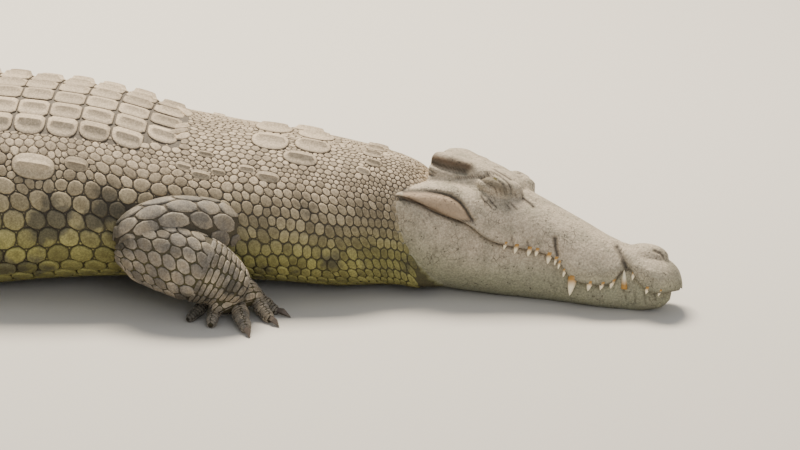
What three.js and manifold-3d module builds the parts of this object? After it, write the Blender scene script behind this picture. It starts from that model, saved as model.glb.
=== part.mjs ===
// Nile crocodile at rest, life size, as a still museum model.
// Millimetres, +Z up. The animal faces +X and lies on its belly on the plane z = 0.
// The spine runs from the back of the skull to the tail tip. Every body section stands
// across it. The head has its own frame: x forward from the back of the skull table,
// y to the animal's left, z up from the underside of the jaw.

import * as THREE from "three";
import { mergeVertices } from "three/addons/utils/BufferGeometryUtils.js";
import Module from "manifold-3d";

const wasm = await Module();
wasm.setup();

// ---------------------------------------------------------------- driving dimensions

const GAP = 0.4; // clearance between two neighbouring nodes
const HEAD_JOINT = new THREE.Vector3(66, -22, 8); // where the head's frame stands
const HEAD_YAW = -14; // degrees, towards the animal's right
const HEAD_ROLL = -12; // degrees, the right side lifted a little

// The spine on the ground, from inside the skull to the tail tip.
const SPINE_POINTS = [
  [146, -42],
  [0, -10],
  [-150, 0],
  [-420, 0],
  [-980, 0],
  [-1500, 0],
  [-1900, -28],
  [-2350, -12],
  [-2800, 105],
  [-3190, 290],
  [-3390, 415],
];

// Half width and height of the body at distances along the spine.
const BODY_SIZES = [
  [0, 40, 150],
  [30, 78, 172],
  [60, 110, 196],
  [90, 126, 222],
  [118, 133, 244],
  [150, 144, 256],
  [180, 158, 262],
  [220, 182, 268],
  [260, 200, 273],
  [350, 218, 286],
  [550, 256, 310],
  [750, 290, 357],
  [950, 312, 374],
  [1150, 318, 376],
  [1350, 296, 354],
  [1500, 240, 308],
  [1620, 186, 262],
  [1750, 150, 232],
  [2000, 112, 198],
  [2300, 80, 164],
  [2700, 50, 126],
  [3100, 29, 90],
  [3420, 15, 54],
  [3620, 5, 16],
];

const UPPER_POWER = 2.1; // squareness of the body's section over its widest place
// Distance, squareness under the widest place, share of the height sunk in the floor, and the
// height of the widest place as a share.
const BODY_UNDERS = [
  [0, 2.2, -0.04, 0.16],
  [60, 2.2, -0.02, 0.18],
  [120, 2.2, -0.02, 0.22],
  [160, 2.25, -0.01, 0.27],
  [220, 2.3, 0, 0.36],
  [280, 2.3, 0, 0.4],
  [420, 2.2, -0.03, 0.4],
  [620, 2.1, -0.04, 0.4],
  [820, 2.2, -0.01, 0.4],
  [1000, 2.6, 0.03, 0.4],
  [1200, 2.9, 0.04, 0.4],
];

const BODY_SIDES = 18;
const TAIL_SIDES = 10;
const HEAD_SIDES = 12;
const TOOTH_SIDES = 4;
const CLAW_SIDES = 4;
const LIMB_SIDES = 8;
const TOE_SIDES = 5;
const NECK_START = 12; // distances along the spine where the body is parted
const NECK_END = 470;
const CHEST_END = 1060;
const TRUNK_END = 1640;
const TAIL_CUTS = [TRUNK_END, 2080, 2560, 3080, 3622];
const NECK_SPACING = 58; // greatest spacing of the sections
const TRUNK_SPACING = 74;
const TAIL_SPACING = 104;
const CREST_START = 1500;
const CREST_JOIN = 2560; // where the two tail crests become one
const CREST_PITCH = 56; // one crest scale to a tail ring
const CREST_THICKNESS = 16;
const CREST_LEAST = 10; // height of the crest scales at the hips and the tip
const CREST_GROWTH = 34; // what is added to it at the middle of the tail
const CREST_CLOSING = 300; // from the start of the crests to where they begin to close up
const CREST_ROOT = 6; // how deep a crest scale stands in the flesh
const CREST_SPREAD = 0.42; // place of the two crests, as a share of the half width
const CREST_SAW = [[0.02, 0.3], [0.74, 1]]; // valley and peak within a pitch

// Head profiles against distance forward of the skull table's back edge.
const SKULL_HALF_WIDTH = [
  [-74, 122],
  [-42, 139],
  [0, 147],
  [52, 138],
  [104, 121],
  [156, 104],
  [208, 90],
  [260, 83],
  [322, 85],
  [364, 75],
  [398, 60],
  [418, 52],
  [442, 57],
  [470, 61],
  [492, 52],
  [507, 32],
  [514, 12],
];
const SKULL_TOP = [
  [-74, 176],
  [0, 204],
  [60, 212],
  [120, 210],
  [165, 204],
  [205, 190],
  [255, 170],
  [305, 150],
  [355, 129],
  [405, 116],
  [450, 108],
  [480, 97],
  [500, 82],
  [514, 58],
];
const TABLE_HALF_WIDTH = [
  [-34, 70],
  [-10, 79],
  [32, 77],
  [84, 66],
  [126, 55],
  [158, 40],
  [186, 20],
];
const TABLE_TOP = [
  [-34, 234],
  [-10, 252],
  [30, 258],
  [60, 251],
  [104, 241],
  [146, 226],
  [186, 200],
];
// Head lofts: from, to, and the number of spaces between the sections.
const FACE_LOFT = [-74, 514, 21];
const TABLE_LOFT = [-34, 186, 7];
const JAW_LOFT = [-92, 492, 19];
// Squareness of the head sections over and under their widest place.
const FACE_POWERS = [2.5, 2.5];
const TABLE_POWERS = [4.5, 3];
const JAW_POWERS = [4, 2.3];
const FACE_OVER_MOUTH = 12; // least height of the face over the mouth line
const FACE_CROWN = 16; // least height of its top over its widest place
const FACE_ROOT = 22; // reach of the face under its widest place, cut away below the mouth line
const TABLE_EDGE = 22; // height of the skull table over its widest place
const TABLE_ROOT = 112; // height where the table ends inside the skull
const LIP_SPARE = 14; // reach of the jaw over the mouth line, cut away above it
const JAW_WIDEST = 0.62; // height of the jaw's widest place, as a share
// Height of the mouth line: level behind, dropping forward, with the two lip bulges.
const MOUTH_LINE = [
  [-146, 162],
  [-66, 169],
  [-20, 171],
  [26, 158],
  [75, 140],
  [103, 130],
  [135, 108],
  [165, 98],
  [214, 92],
  [250, 88],
  [280, 76],
  [312, 46],
  [358, 38],
  [388, 44],
  [406, 69],
  [422, 74],
  [440, 52],
  [470, 36],
  [500, 38],
  [540, 46],
];
// Block that parts the jaws along the mouth line.
const MOUTH_CUT = { back: -140, front: 560, bottom: -80, halfWidth: 200, steps: 40 };
const JAW_HALF_WIDTH = [
  [-92, 116],
  [-66, 134],
  [-36, 144],
  [0, 147],
  [52, 134],
  [104, 113],
  [156, 94],
  [208, 78],
  [260, 69],
  [322, 63],
  [374, 54],
  [416, 46],
  [452, 41],
  [476, 32],
  [492, 16],
];
const JAW_BOTTOM = [
  [-92, 140],
  [-76, 92],
  [-58, 56],
  [-36, 24],
  [0, 0],
  [40, -14],
  [300, -14],
  [430, -12],
  [478, 0],
  [492, 14],
];

// Teeth on each side: distance forward, length below the lip, radius at the root.
const UPPER_TEETH = [
  [176, 9, 4.5],
  [197, 13, 6],
  [223, 13, 6],
  [238, 10, 6],
  [263, 17, 7],
  [278, 10, 4],
  [286, 11, 4],
  [298, 12, 4.5],
  [314, 34, 10],
  [349, 14, 7],
  [372, 10, 6],
  [390, 13, 6],
  [430, 12, 5],
  [462, 8, 5],
  [486, 7, 4],
];
// The fourth lower tooth stands in the notch: distance forward, root, tip, radius.
const LOWER_TOOTH = [411, 34, 74, 6.5];

const TOOTH_LEAN = 4; // how far a tip stands behind its root
const TOOTH_TIP = 1; // radius of the tip
const TOOTH_ROOT = 8; // length inside the jaw
const TOOTH_INSET = 2; // how far a root keeps from the jaw's side

const EYE = new THREE.Vector3(134, 66, 207);
const EYE_RADIUS = 19;
const BROW = new THREE.Vector3(128, 46, 202);
const BROW_SIZE = new THREE.Vector3(58, 27, 23);
const NOSTRILS = new THREE.Vector3(438, 0, 100);
const NOSTRILS_SIZE = new THREE.Vector3(44, 34, 23);

// Limbs of the right side: points with half width and half thickness.
const FORE_UPPER = [
  [-326, -186, 146, 54, 58],
  [-381, -236, 174, 52, 54],
  [-423, -262, 188, 48, 48],
  [-465, -276, 180, 46, 48],
  [-502, -284, 158, 42, 44],
  [-522, -288, 136, 24, 26],
];
const FORE_LOWER = [
  [-530, -286, 124, 22, 24],
  [-500, -292, 128, 44, 54],
  [-452, -300, 126, 52, 67],
  [-397, -304, 113, 56, 71],
  [-347, -301, 94, 58, 64],
  [-309, -293, 72, 56, 48],
  [-296, -288, 60, 50, 36],
];
const FORE_WRIST = new THREE.Vector3(-314, -276, 56);
const FORE_PALM = new THREE.Vector3(-292, -296, 34);
const HIND_UPPER = [
  [-1420, -110, 165, 100, 92],
  [-1370, -200, 158, 98, 86],
  [-1300, -300, 138, 80, 72],
  [-1235, -378, 112, 58, 58],
  [-1206, -402, 100, 30, 32],
];
const HIND_LOWER = [
  [-1204, -396, 92, 40, 42],
  [-1238, -410, 88, 60, 56],
  [-1310, -440, 68, 54, 46],
  [-1370, -462, 44, 42, 32],
  [-1392, -472, 32, 30, 24],
];
const HIND_ANKLE = new THREE.Vector3(-1384, -474, 24);
const HIND_PALM = new THREE.Vector3(-1272, -540, 18);
// Each toe: root, tip on the floor, root radius, and whether it has a claw.
const FORE_TOES = [
  { name: "1", root: [-262, -240, 34], tip: [-217, -262], radius: 12, clawed: true },
  { name: "2", root: [-268, -258, 40], tip: [-225, -312], radius: 14, clawed: true },
  { name: "3", root: [-298, -286, 42], tip: [-267, -376], radius: 16, clawed: true },
  { name: "4", root: [-334, -284, 38], tip: [-339, -358], radius: 13, clawed: false },
  { name: "5", root: [-350, -272, 34], tip: [-387, -330], radius: 12, clawed: false },
];
const HIND_TOES = [
  { name: "1", root: [-1262, -538, 20], tip: [-1144, -531], radius: 17, clawed: true },
  { name: "2", root: [-1256, -545, 22], tip: [-1119, -587], radius: 18, clawed: true },
  { name: "3", root: [-1258, -550, 22], tip: [-1134, -640], radius: 17, clawed: true },
  { name: "4", root: [-1264, -556, 20], tip: [-1194, -656], radius: 15, clawed: false },
];
const TOE_TIP_HEIGHT = 8;
const TOE_SINK = 0.92; // a toe's least height over the floor, as a share of its radius
// Width and thickness shares of a sole at the wrist, the middle, the palm and the front edge.
const SOLE_SHAPE = [[0.86, 1.1], [1, 1], [1, 0.86], [0.86, 0.5]];
const SOLE_END_HEIGHT = 0.8; // height of the front edge, as a share of the palm's
const FORE_FOOT = [62, 34]; // half width and half thickness
const HIND_FOOT = [54, 26];
const FORE_MIRROR = [34, 0.84]; // a left limb's shift along the body and its height's share
const HIND_MIRROR = [-46, 1];
const CLAW_AT = 0.9; // share of the toe where its claw begins
const CLAW_SHAPE = [[-8, 10, 5.1], [17, 10, 7.2], [34, 2, 1]]; // distance past it, height, radius

// ---------------------------------------------------------------- materials

const material = (color, roughness) =>
  new THREE.MeshStandardMaterial({ color, roughness, metalness: 0 });
const HIDE = material("#8f8468", 0.75);
const HEAD_HIDE = material("#9a8f78", 0.7);
const LIMB_HIDE = material("#857d6e", 0.75);
const CLAW_HORN = material("#3a342c", 0.5);
const EYE_GLOSS = material("#4a4428", 0.15);

// ---------------------------------------------------------------- curves and sections

// Smooth interpolation in a table of [place, value, ...] rows.
function lookUp(table, place, column = 1) {
  const last = table.length - 1;
  const x = THREE.MathUtils.clamp(place, table[0][0], table[last][0]);
  const k = Math.min(table.findLastIndex((row) => row[0] <= x), last - 1);
  const slope = (i, j) => (table[j][column] - table[i][column]) / (table[j][0] - table[i][0]);
  const here = slope(Math.max(k - 1, 0), k + 1);
  const next = slope(k, Math.min(k + 2, last));
  const span = table[k + 1][0] - table[k][0];
  const t = (x - table[k][0]) / span;
  const start = (1 + 2 * t) * (1 - t) ** 2 * table[k][column] + t * (1 - t) ** 2 * span * here;
  const end = t * t * (3 - 2 * t) * table[k + 1][column] + t * t * (t - 1) * span * next;
  return start + end;
}

const spine = new THREE.CatmullRomCurve3(SPINE_POINTS.map(([x, y]) => new THREE.Vector3(x, y, 0)));
spine.arcLengthDivisions = 600;
const SPINE_LENGTH = spine.getLength();

const signedPower = (value, exponent) => Math.sign(value) * Math.abs(value) ** exponent;

// A closed curve around a section: wider below than an ellipse, so that the belly lies flat.
function sectionPoints(sides, halfWidth, widest, top, bottom, upperPower, lowerPower) {
  return Array.from({ length: sides }, (_, k) => {
    const angle = (2 * Math.PI * (k + 0.5)) / sides - Math.PI / 2;
    const power = angle > 0 && angle < Math.PI ? upperPower : lowerPower;
    const reach = angle > 0 && angle < Math.PI ? top - widest : widest - bottom;
    const across = halfWidth * signedPower(Math.cos(angle), 2 / power);
    const up = widest + reach * signedPower(Math.sin(angle), 2 / power);
    return [across, up];
  });
}

function bodyRing(distance, sides, grow) {
  const share = THREE.MathUtils.clamp(distance / SPINE_LENGTH, 0, 1);
  const centre = spine.getPointAt(share);
  const along = spine.getTangentAt(share);
  const toRight = new THREE.Vector3(-along.y, along.x, 0);
  const halfWidth = lookUp(BODY_SIZES, distance, 1) + grow;
  const height = lookUp(BODY_SIZES, distance, 2);
  const lowerPower = lookUp(BODY_UNDERS, distance, 1);
  const sink = lookUp(BODY_UNDERS, distance, 2) * height;
  const widest = lookUp(BODY_UNDERS, distance, 3) * height;
  const points = sectionPoints(
    sides, halfWidth, widest, height + grow, -sink - grow, UPPER_POWER, lowerPower);
  const floor = grow > 0 ? -sink - grow : 0;
  return points.map(([across, up]) =>
    centre.clone().addScaledVector(toRight, across).setZ(Math.max(up, floor)));
}

// ---------------------------------------------------------------- solids

// A closed skin over a row of rings, with a fan of triangles over each end.
function loft(rings) {
  const count = rings[0].length;
  const centres = [rings[0], rings[rings.length - 1]].map((ring) =>
    ring.reduce((sum, p) => sum.add(p), new THREE.Vector3()).divideScalar(count));
  const points = [...rings.flat(), ...centres];
  const index = [];
  rings.slice(1).forEach((_, r) => {
    for (let k = 0; k < count; k += 1) {
      const a = r * count + k;
      const b = r * count + ((k + 1) % count);
      index.push(a, b, b + count, a, b + count, a + count);
    }
  });
  const first = rings.length * count;
  const lastRing = first - count;
  for (let k = 0; k < count; k += 1) {
    const next = (k + 1) % count;
    index.push(first, next, k, first + 1, lastRing + k, lastRing + next);
  }
  const geometry = new THREE.BufferGeometry().setFromPoints(points);
  geometry.setIndex(index);
  return toSolid(geometry);
}

// The manifold of a closed geometry, turned right side out if its volume is negative.
function toSolid(geometry) {
  const bare = geometry.clone();
  bare.deleteAttribute("normal");
  bare.deleteAttribute("uv");
  const merged = mergeVertices(bare, 1e-3);
  const vertProperties = new Float32Array(merged.attributes.position.array);
  const triVerts = new Uint32Array(merged.index.array);
  if (volumeOf(vertProperties, triVerts) < 0) {
    for (let i = 0; i < triVerts.length; i += 3) {
      [triVerts[i], triVerts[i + 1]] = [triVerts[i + 1], triVerts[i]];
    }
  }
  return new wasm.Manifold(new wasm.Mesh({ numProp: 3, vertProperties, triVerts }));
}

function volumeOf(positions, triangles) {
  const corner = (i) => new THREE.Vector3().fromArray(positions, 3 * triangles[i]);
  let volume = 0;
  for (let i = 0; i < triangles.length; i += 3) {
    volume += corner(i).dot(corner(i + 1).cross(corner(i + 2))) / 6;
  }
  return volume;
}

function toMesh(name, solid, look) {
  const { vertProperties, triVerts } = solid.getMesh();
  const geometry = new THREE.BufferGeometry();
  geometry.setAttribute("position", new THREE.BufferAttribute(vertProperties, 3));
  geometry.setIndex(new THREE.BufferAttribute(triVerts, 1));
  const mesh = new THREE.Mesh(geometry, look);
  mesh.name = name;
  return mesh;
}

const union = (solids) => solids.reduce((sum, solid) => sum.add(solid));

function box(from, to) {
  const size = to.clone().sub(from);
  const middle = from.clone().add(to).divideScalar(2);
  const geometry = new THREE.BoxGeometry(size.x, size.y, size.z);
  return toSolid(geometry.translate(middle.x, middle.y, middle.z));
}

const BELOW_FLOOR = box(new THREE.Vector3(-4500, -1500, -600), new THREE.Vector3(1500, 1500, 0));

function ellipsoid(centre, size, detail) {
  const geometry = new THREE.SphereGeometry(1, detail, Math.round(detail * 0.6));
  geometry.scale(size.x, size.y, size.z).translate(centre.x, centre.y, centre.z);
  return toSolid(geometry);
}

// A limb of oval sections through points given as [x, y, z, half width, half thickness].
function limb(stations, sides, grow = 0) {
  const path = new THREE.CatmullRomCurve3(stations.map(([x, y, z]) => new THREE.Vector3(x, y, z)));
  const last = stations.length - 1;
  const rings = stations.map((_, i) => {
    const share = i / last;
    const along = path.getTangent(share);
    const side = new THREE.Vector3(-along.y, along.x, 0).normalize();
    const up = along.clone().cross(side).normalize();
    const cap = i === 0 ? -grow : i === last ? grow : 0;
    const centre = path.getPoint(share).addScaledVector(along, cap);
    const wide = stations[i][3] + grow;
    const thick = stations[i][4] + grow;
    return Array.from({ length: sides }, (_unused, k) => {
      const angle = (2 * Math.PI * k) / sides;
      return centre.clone()
        .addScaledVector(side, wide * Math.cos(angle))
        .addScaledVector(up, thick * Math.sin(angle));
    });
  });
  return loft(rings);
}

// ---------------------------------------------------------------- body and tail

function bodyLength([from, to, sides, spacing], grow = 0) {
  const steps = Math.max(2, Math.round((to - from) / spacing));
  const rings = Array.from({ length: steps + 1 }, (_, i) => {
    const cap = i === 0 ? -grow : i === steps ? grow : 0;
    return bodyRing(from + ((to - from) * i) / steps + cap, sides, grow);
  });
  return loft(rings);
}

// Crest height along the tail: low at the hips, tall past the middle, falling to the tip.
function crestHeight(distance) {
  const share = (distance - CREST_START) / (SPINE_LENGTH - CREST_START);
  const swell = Math.sin(Math.PI * THREE.MathUtils.clamp(share, 0, 1));
  return CREST_LEAST + CREST_GROWTH * swell ** 0.8;
}

// One row of crest scales, each a leaning triangle, as a thin saw-edged wall.
function crest(from, to, side) {
  const rings = [];
  const first = Math.ceil((from - CREST_START) / CREST_PITCH);
  const last = Math.floor((to - CREST_START) / CREST_PITCH);
  for (let k = first; k < last; k += 1) {
    CREST_SAW.forEach(([share, tallness]) => {
      const distance = CREST_START + (k + share) * CREST_PITCH;
      const spread = side * lookUp(BODY_SIZES, distance) * CREST_SPREAD * (1 - crestJoin(distance));
      const base = spineTop(distance, spread);
      const low = base.clone().setZ(base.z - CREST_ROOT);
      const high = base.clone().setZ(base.z + crestHeight(distance) * tallness);
      const across = sideways(distance).multiplyScalar(CREST_THICKNESS / 2);
      rings.push([low.clone().add(across), high, low.clone().sub(across)]);
    });
  }
  return loft(rings);
}

// 0 while the crests run apart, 1 where they have become one.
function crestJoin(distance) {
  return THREE.MathUtils.smoothstep(distance, CREST_START + CREST_CLOSING, CREST_JOIN);
}

function sideways(distance) {
  const along = spine.getTangentAt(THREE.MathUtils.clamp(distance / SPINE_LENGTH, 0, 1));
  return new THREE.Vector3(-along.y, along.x, 0);
}

// The point on the back at a sideways offset from the spine.
function spineTop(distance, offset) {
  const halfWidth = lookUp(BODY_SIZES, distance, 1);
  const height = lookUp(BODY_SIZES, distance, 2);
  const widest = lookUp(BODY_UNDERS, distance, 3);
  const rise = (1 - Math.abs(offset / halfWidth) ** UPPER_POWER) ** (1 / UPPER_POWER);
  const centre = spine.getPointAt(THREE.MathUtils.clamp(distance / SPINE_LENGTH, 0, 1));
  return centre.addScaledVector(sideways(distance), offset)
    .setZ(height * (widest + (1 - widest) * rise));
}

// The lengths of the body: [from, to, sides, spacing of the sections].
const NECK = [NECK_START, NECK_END, BODY_SIDES, NECK_SPACING];
const CHEST = [NECK_END + GAP, CHEST_END, BODY_SIDES, TRUNK_SPACING];
const HIPS = [CHEST_END + GAP, TRUNK_END, BODY_SIDES, TRUNK_SPACING];
const TAIL_LENGTHS = TAIL_CUTS.slice(1).map((to, k) =>
  [TAIL_CUTS[k] + GAP, Math.min(to, SPINE_LENGTH), TAIL_SIDES, TAIL_SPACING]);
const BODY_ROOM = union([NECK, CHEST, HIPS, TAIL_LENGTHS[0]].map((part) => bodyLength(part, GAP)));

function trunkAndTail() {
  const names = ["tail_base", "tail_middle", "tail_rear", "tail_tip"];
  const tail = TAIL_LENGTHS.map((part, k) => {
    const [from, to] = part;
    const sides = to > CREST_JOIN ? [0] : [-1, 1];
    const crests = sides.map((side) => crest(from, to, side));
    return toMesh(names[k], union([bodyLength(part), ...crests]), HIDE);
  });
  return [
    toMesh("trunk_front", bodyLength(CHEST), HIDE),
    toMesh("trunk_rear", bodyLength(HIPS), HIDE),
    ...tail,
  ];
}

// ---------------------------------------------------------------- head

// The same place on the animal's right (-1) or left (1).
const sided = (point, side) => new THREE.Vector3(point.x, side * point.y, point.z);

function headPlaces(from, to, count) {
  return Array.from({ length: count + 1 }, (_, k) => from + ((to - from) * k) / count);
}

function headRing(x, halfWidth, widest, top, bottom, powers) {
  return sectionPoints(HEAD_SIDES, halfWidth, widest, top, bottom, ...powers)
    .map(([across, up]) => new THREE.Vector3(x, across, up));
}

// A loft of head sections. A grown copy has its two ends moved outward as well.
function headLoft([from, to, count], grow, sectionAt) {
  const rings = headPlaces(from, to, count).map((x) => sectionAt(x));
  rings[0].forEach((point) => point.setX(from - grow));
  rings[count].forEach((point) => point.setX(to + grow));
  return loft(rings);
}

function skullSolid(grow = 0) {
  const face = headLoft(FACE_LOFT, grow, (x) => {
    const mouth = lookUp(MOUTH_LINE, x);
    const top = Math.max(lookUp(SKULL_TOP, x), mouth + FACE_OVER_MOUTH) + grow;
    const widest = Math.min(mouth, top - FACE_CROWN);
    const wide = lookUp(SKULL_HALF_WIDTH, x) + grow;
    return headRing(x, wide, widest, top, widest - FACE_ROOT, FACE_POWERS);
  });
  const table = headLoft(TABLE_LOFT, grow, (x) => {
    const top = lookUp(TABLE_TOP, x) + grow;
    const wide = lookUp(TABLE_HALF_WIDTH, x) + grow;
    return headRing(x, wide, top - TABLE_EDGE, top, TABLE_ROOT, TABLE_POWERS);
  });
  const brows = [-1, 1].map((side) =>
    ellipsoid(sided(BROW, side), BROW_SIZE.clone().addScalar(grow), 8));
  return union([face, table, ...brows, ellipsoid(NOSTRILS, NOSTRILS_SIZE, 8)]);
}

function jawSolid(grow = 0) {
  return headLoft(JAW_LOFT, grow, (x) => {
    const bottom = lookUp(JAW_BOTTOM, x) - grow;
    const lip = lookUp(MOUTH_LINE, x) + LIP_SPARE;
    const wide = lookUp(JAW_HALF_WIDTH, x) + grow;
    return headRing(x, wide, bottom + JAW_WIDEST * (lip - bottom), lip, bottom, JAW_POWERS);
  });
}

// All that lies below the mouth line, moved up or down by a clearance.
function belowMouth(shift) {
  const { back, front, bottom, halfWidth, steps } = MOUTH_CUT;
  const outline = new THREE.Shape();
  outline.moveTo(back, bottom);
  headPlaces(back, front, steps).forEach((x) => outline.lineTo(x, lookUp(MOUTH_LINE, x) + shift));
  outline.lineTo(front, bottom);
  const geometry = new THREE.ExtrudeGeometry(
    outline, { depth: 2 * halfWidth, bevelEnabled: false });
  return toSolid(geometry.rotateX(Math.PI / 2).translate(0, halfWidth, 0));
}

// A tooth as a cone between two heights at the lip's edge.
function toothCone(x, out, root, tip, radius, grow) {
  const rows = [[x, out, root, radius, radius], [x - TOOTH_LEAN, out, tip, TOOTH_TIP, TOOTH_TIP]];
  return limb(rows, TOOTH_SIDES, grow);
}

function upperTooth([x, length, radius], side, grow = 0) {
  const out = side * (lookUp(SKULL_HALF_WIDTH, x) - radius - TOOTH_INSET);
  const lip = lookUp(MOUTH_LINE, x);
  return toothCone(x, out, lip + TOOTH_ROOT, lip - length, radius, grow);
}

function lowerTooth([x, root, tip, radius], side, grow = 0) {
  const out = side * (lookUp(JAW_HALF_WIDTH, x) - radius + TOOTH_INSET);
  return toothCone(x, out, root, tip, radius, grow);
}

function headParts() {
  const eyes = [-1, 1].map((side) => sided(EYE, side));
  const sockets = eyes.map((centre) =>
    ellipsoid(centre, new THREE.Vector3().addScalar(EYE_RADIUS + GAP), 8));
  const upperTeeth = [-1, 1].flatMap((side) => UPPER_TEETH.map((row) => upperTooth(row, side)));
  const toothRoom = [-1, 1].flatMap((side) => UPPER_TEETH.map((row) => upperTooth(row, side, GAP)));
  const lowerTeeth = [-1, 1].map((side) => lowerTooth(LOWER_TOOTH, side));
  const lowerRoom = [-1, 1].map((side) => lowerTooth(LOWER_TOOTH, side, GAP));
  const skull = skullSolid().subtract(belowMouth(GAP / 2)).subtract(union(sockets));
  const jaw = jawSolid().intersect(belowMouth(-GAP / 2));
  const upper = union([skull, ...upperTeeth]).subtract(union(lowerRoom));
  const lower = union([jaw.subtract(union(toothRoom)), ...lowerTeeth]);
  const balls = eyes.map((centre) =>
    ellipsoid(centre, new THREE.Vector3().addScalar(EYE_RADIUS), 8));
  return { upper, lower, balls };
}

// The head's frame in the animal's frame.
const headMatrix = new THREE.Matrix4().compose(
  HEAD_JOINT,
  new THREE.Quaternion().setFromEuler(new THREE.Euler(
    THREE.MathUtils.degToRad(HEAD_ROLL), 0, THREE.MathUtils.degToRad(HEAD_YAW), "ZYX")),
  new THREE.Vector3(1, 1, 1),
);
const placeHead = (solid) => solid.transform(headMatrix.toArray());

function headAndNeck() {
  const { upper, lower, balls } = headParts();
  const headRoom = placeHead(skullSolid(2 * GAP)).add(placeHead(jawSolid(2 * GAP)));
  const neck = bodyLength(NECK).subtract(headRoom);
  const meshes = [
    toMesh("head", placeHead(upper).subtract(BELOW_FLOOR), HEAD_HIDE),
    toMesh("lower_jaw", placeHead(lower).subtract(BELOW_FLOOR), HEAD_HIDE),
    toMesh("neck", neck, HIDE),
  ];
  const names = ["eye_right", "eye_left"];
  balls.forEach((ball, k) => meshes.push(toMesh(names[k], placeHead(ball), EYE_GLOSS)));
  return meshes;
}

// ---------------------------------------------------------------- limbs

const toeAt = (toe, share) => [0, 1].map((k) => toe.root[k] + (toe.tip[k] - toe.root[k]) * share);

// Stations of a toe: share of its length, then share of its radius.
const TOE_SHAPE = [[-0.35, 1.1], [0.7, 0.88], [1, 0.42]];

function toeStations(toe) {
  const rise = toe.root[2] - TOE_TIP_HEIGHT;
  return TOE_SHAPE.map(([share, size]) => {
    const r = toe.radius * size;
    const z = TOE_TIP_HEIGHT + rise * Math.max(1 - share, 0) ** 1.4;
    return [...toeAt(toe, share), Math.max(z, r * TOE_SINK), r, r];
  });
}

function clawSolid(toe) {
  const [x, y] = toeAt(toe, 0);
  const reach = Math.hypot(toe.tip[0] - x, toe.tip[1] - y);
  const rows = CLAW_SHAPE.map(([far, z, r]) => [...toeAt(toe, CLAW_AT + far / reach), z, r, r]);
  return limb(rows, CLAW_SIDES);
}

function footSolid(wrist, palm, toes, [width, thick], grow = 0) {
  const middle = wrist.clone().lerp(palm, 0.5);
  const end = palm.clone().lerp(middle, -0.5).setZ(palm.z * SOLE_END_HEIGHT);
  const rows = [wrist, middle, palm, end].map((place, k) =>
    [...place, width * SOLE_SHAPE[k][0], thick * SOLE_SHAPE[k][1]]);
  const sole = limb(rows, LIMB_SIDES, grow);
  return union([sole, ...toes.map((toe) => limb(toeStations(toe), TOE_SIDES, grow))]);
}

function limbMeshes(name, upperRow, lowerRow, wrist, palm, toes, footSize, place) {
  const rested = (solid) => solid.subtract(BELOW_FLOOR);
  const claws = toes.filter((toe) => toe.clawed);
  const upper = limb(upperRow, LIMB_SIDES).transform(place).subtract(BODY_ROOM);
  const lower = limb(lowerRow, LIMB_SIDES).subtract(limb(upperRow, LIMB_SIDES, GAP)).transform(place);
  const foot = footSolid(wrist, palm, toes, footSize).subtract(limb(lowerRow, LIMB_SIDES, GAP))
    .transform(place);
  const footRoom = footSolid(wrist, palm, toes, footSize, GAP);
  const meshes = [
    toMesh(`${name}_upper`, rested(upper), LIMB_HIDE),
    toMesh(`${name}_lower`, rested(lower.subtract(BODY_ROOM)), LIMB_HIDE),
    toMesh(`${name}_foot`, rested(foot.subtract(BODY_ROOM)), LIMB_HIDE),
  ];
  claws.forEach((toe) => {
    const claw = clawSolid(toe).subtract(footRoom).transform(place);
    meshes.push(toMesh(`${name}_claw_${toe.name}`, rested(claw), CLAW_HORN));
  });
  return meshes;
}

// The left limbs are the right ones mirrored, moved a little along the body and held lower.
const AS_MODELLED = new THREE.Matrix4().toArray();
const mirroredBy = ([shift, rise]) =>
  new THREE.Matrix4().makeTranslation(shift, 0, 0).scale(new THREE.Vector3(1, -1, rise)).toArray();

function allLimbs() {
  const fore = [FORE_UPPER, FORE_LOWER, FORE_WRIST, FORE_PALM, FORE_TOES, FORE_FOOT];
  const hind = [HIND_UPPER, HIND_LOWER, HIND_ANKLE, HIND_PALM, HIND_TOES, HIND_FOOT];
  return [
    ...limbMeshes("fore_right", ...fore, AS_MODELLED),
    ...limbMeshes("fore_left", ...fore, mirroredBy(FORE_MIRROR)),
    ...limbMeshes("hind_right", ...hind, AS_MODELLED),
    ...limbMeshes("hind_left", ...hind, mirroredBy(HIND_MIRROR)),
  ];
}

// ---------------------------------------------------------------- the whole animal

const crocodile = new THREE.Group();
crocodile.add(...headAndNeck(), ...trunkAndTail(), ...allLimbs());

// Stand the group so that the middle of its footprint is the origin.
const bounds = new THREE.Box3().setFromObject(crocodile);
const footprint = bounds.getCenter(new THREE.Vector3());
crocodile.position.set(-footprint.x, -footprint.y, -bounds.min.z);
crocodile.updateMatrixWorld(true);

export default crocodile;
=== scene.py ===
# %% [markdown]
# # A Nile crocodile at rest
# This lesson dresses a plain solid model of a crocodile, life size, as a museum would show it.
# The solids give the true outline. Here they get one skin, and over it thousands of scales,
# each a little raised mesh: scutes with keels on the back, pebbles on the neck, bands at the
# wrist and whorls on the tail. Eyes, teeth and claws stay pieces of their own.

# %% Tools and the frame
import math

import bmesh
import bpy
import numpy as np
from mathutils import Matrix, Vector
from mathutils.bvhtree import BVHTree
from mathutils.geometry import delaunay_2d_cdt


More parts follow.
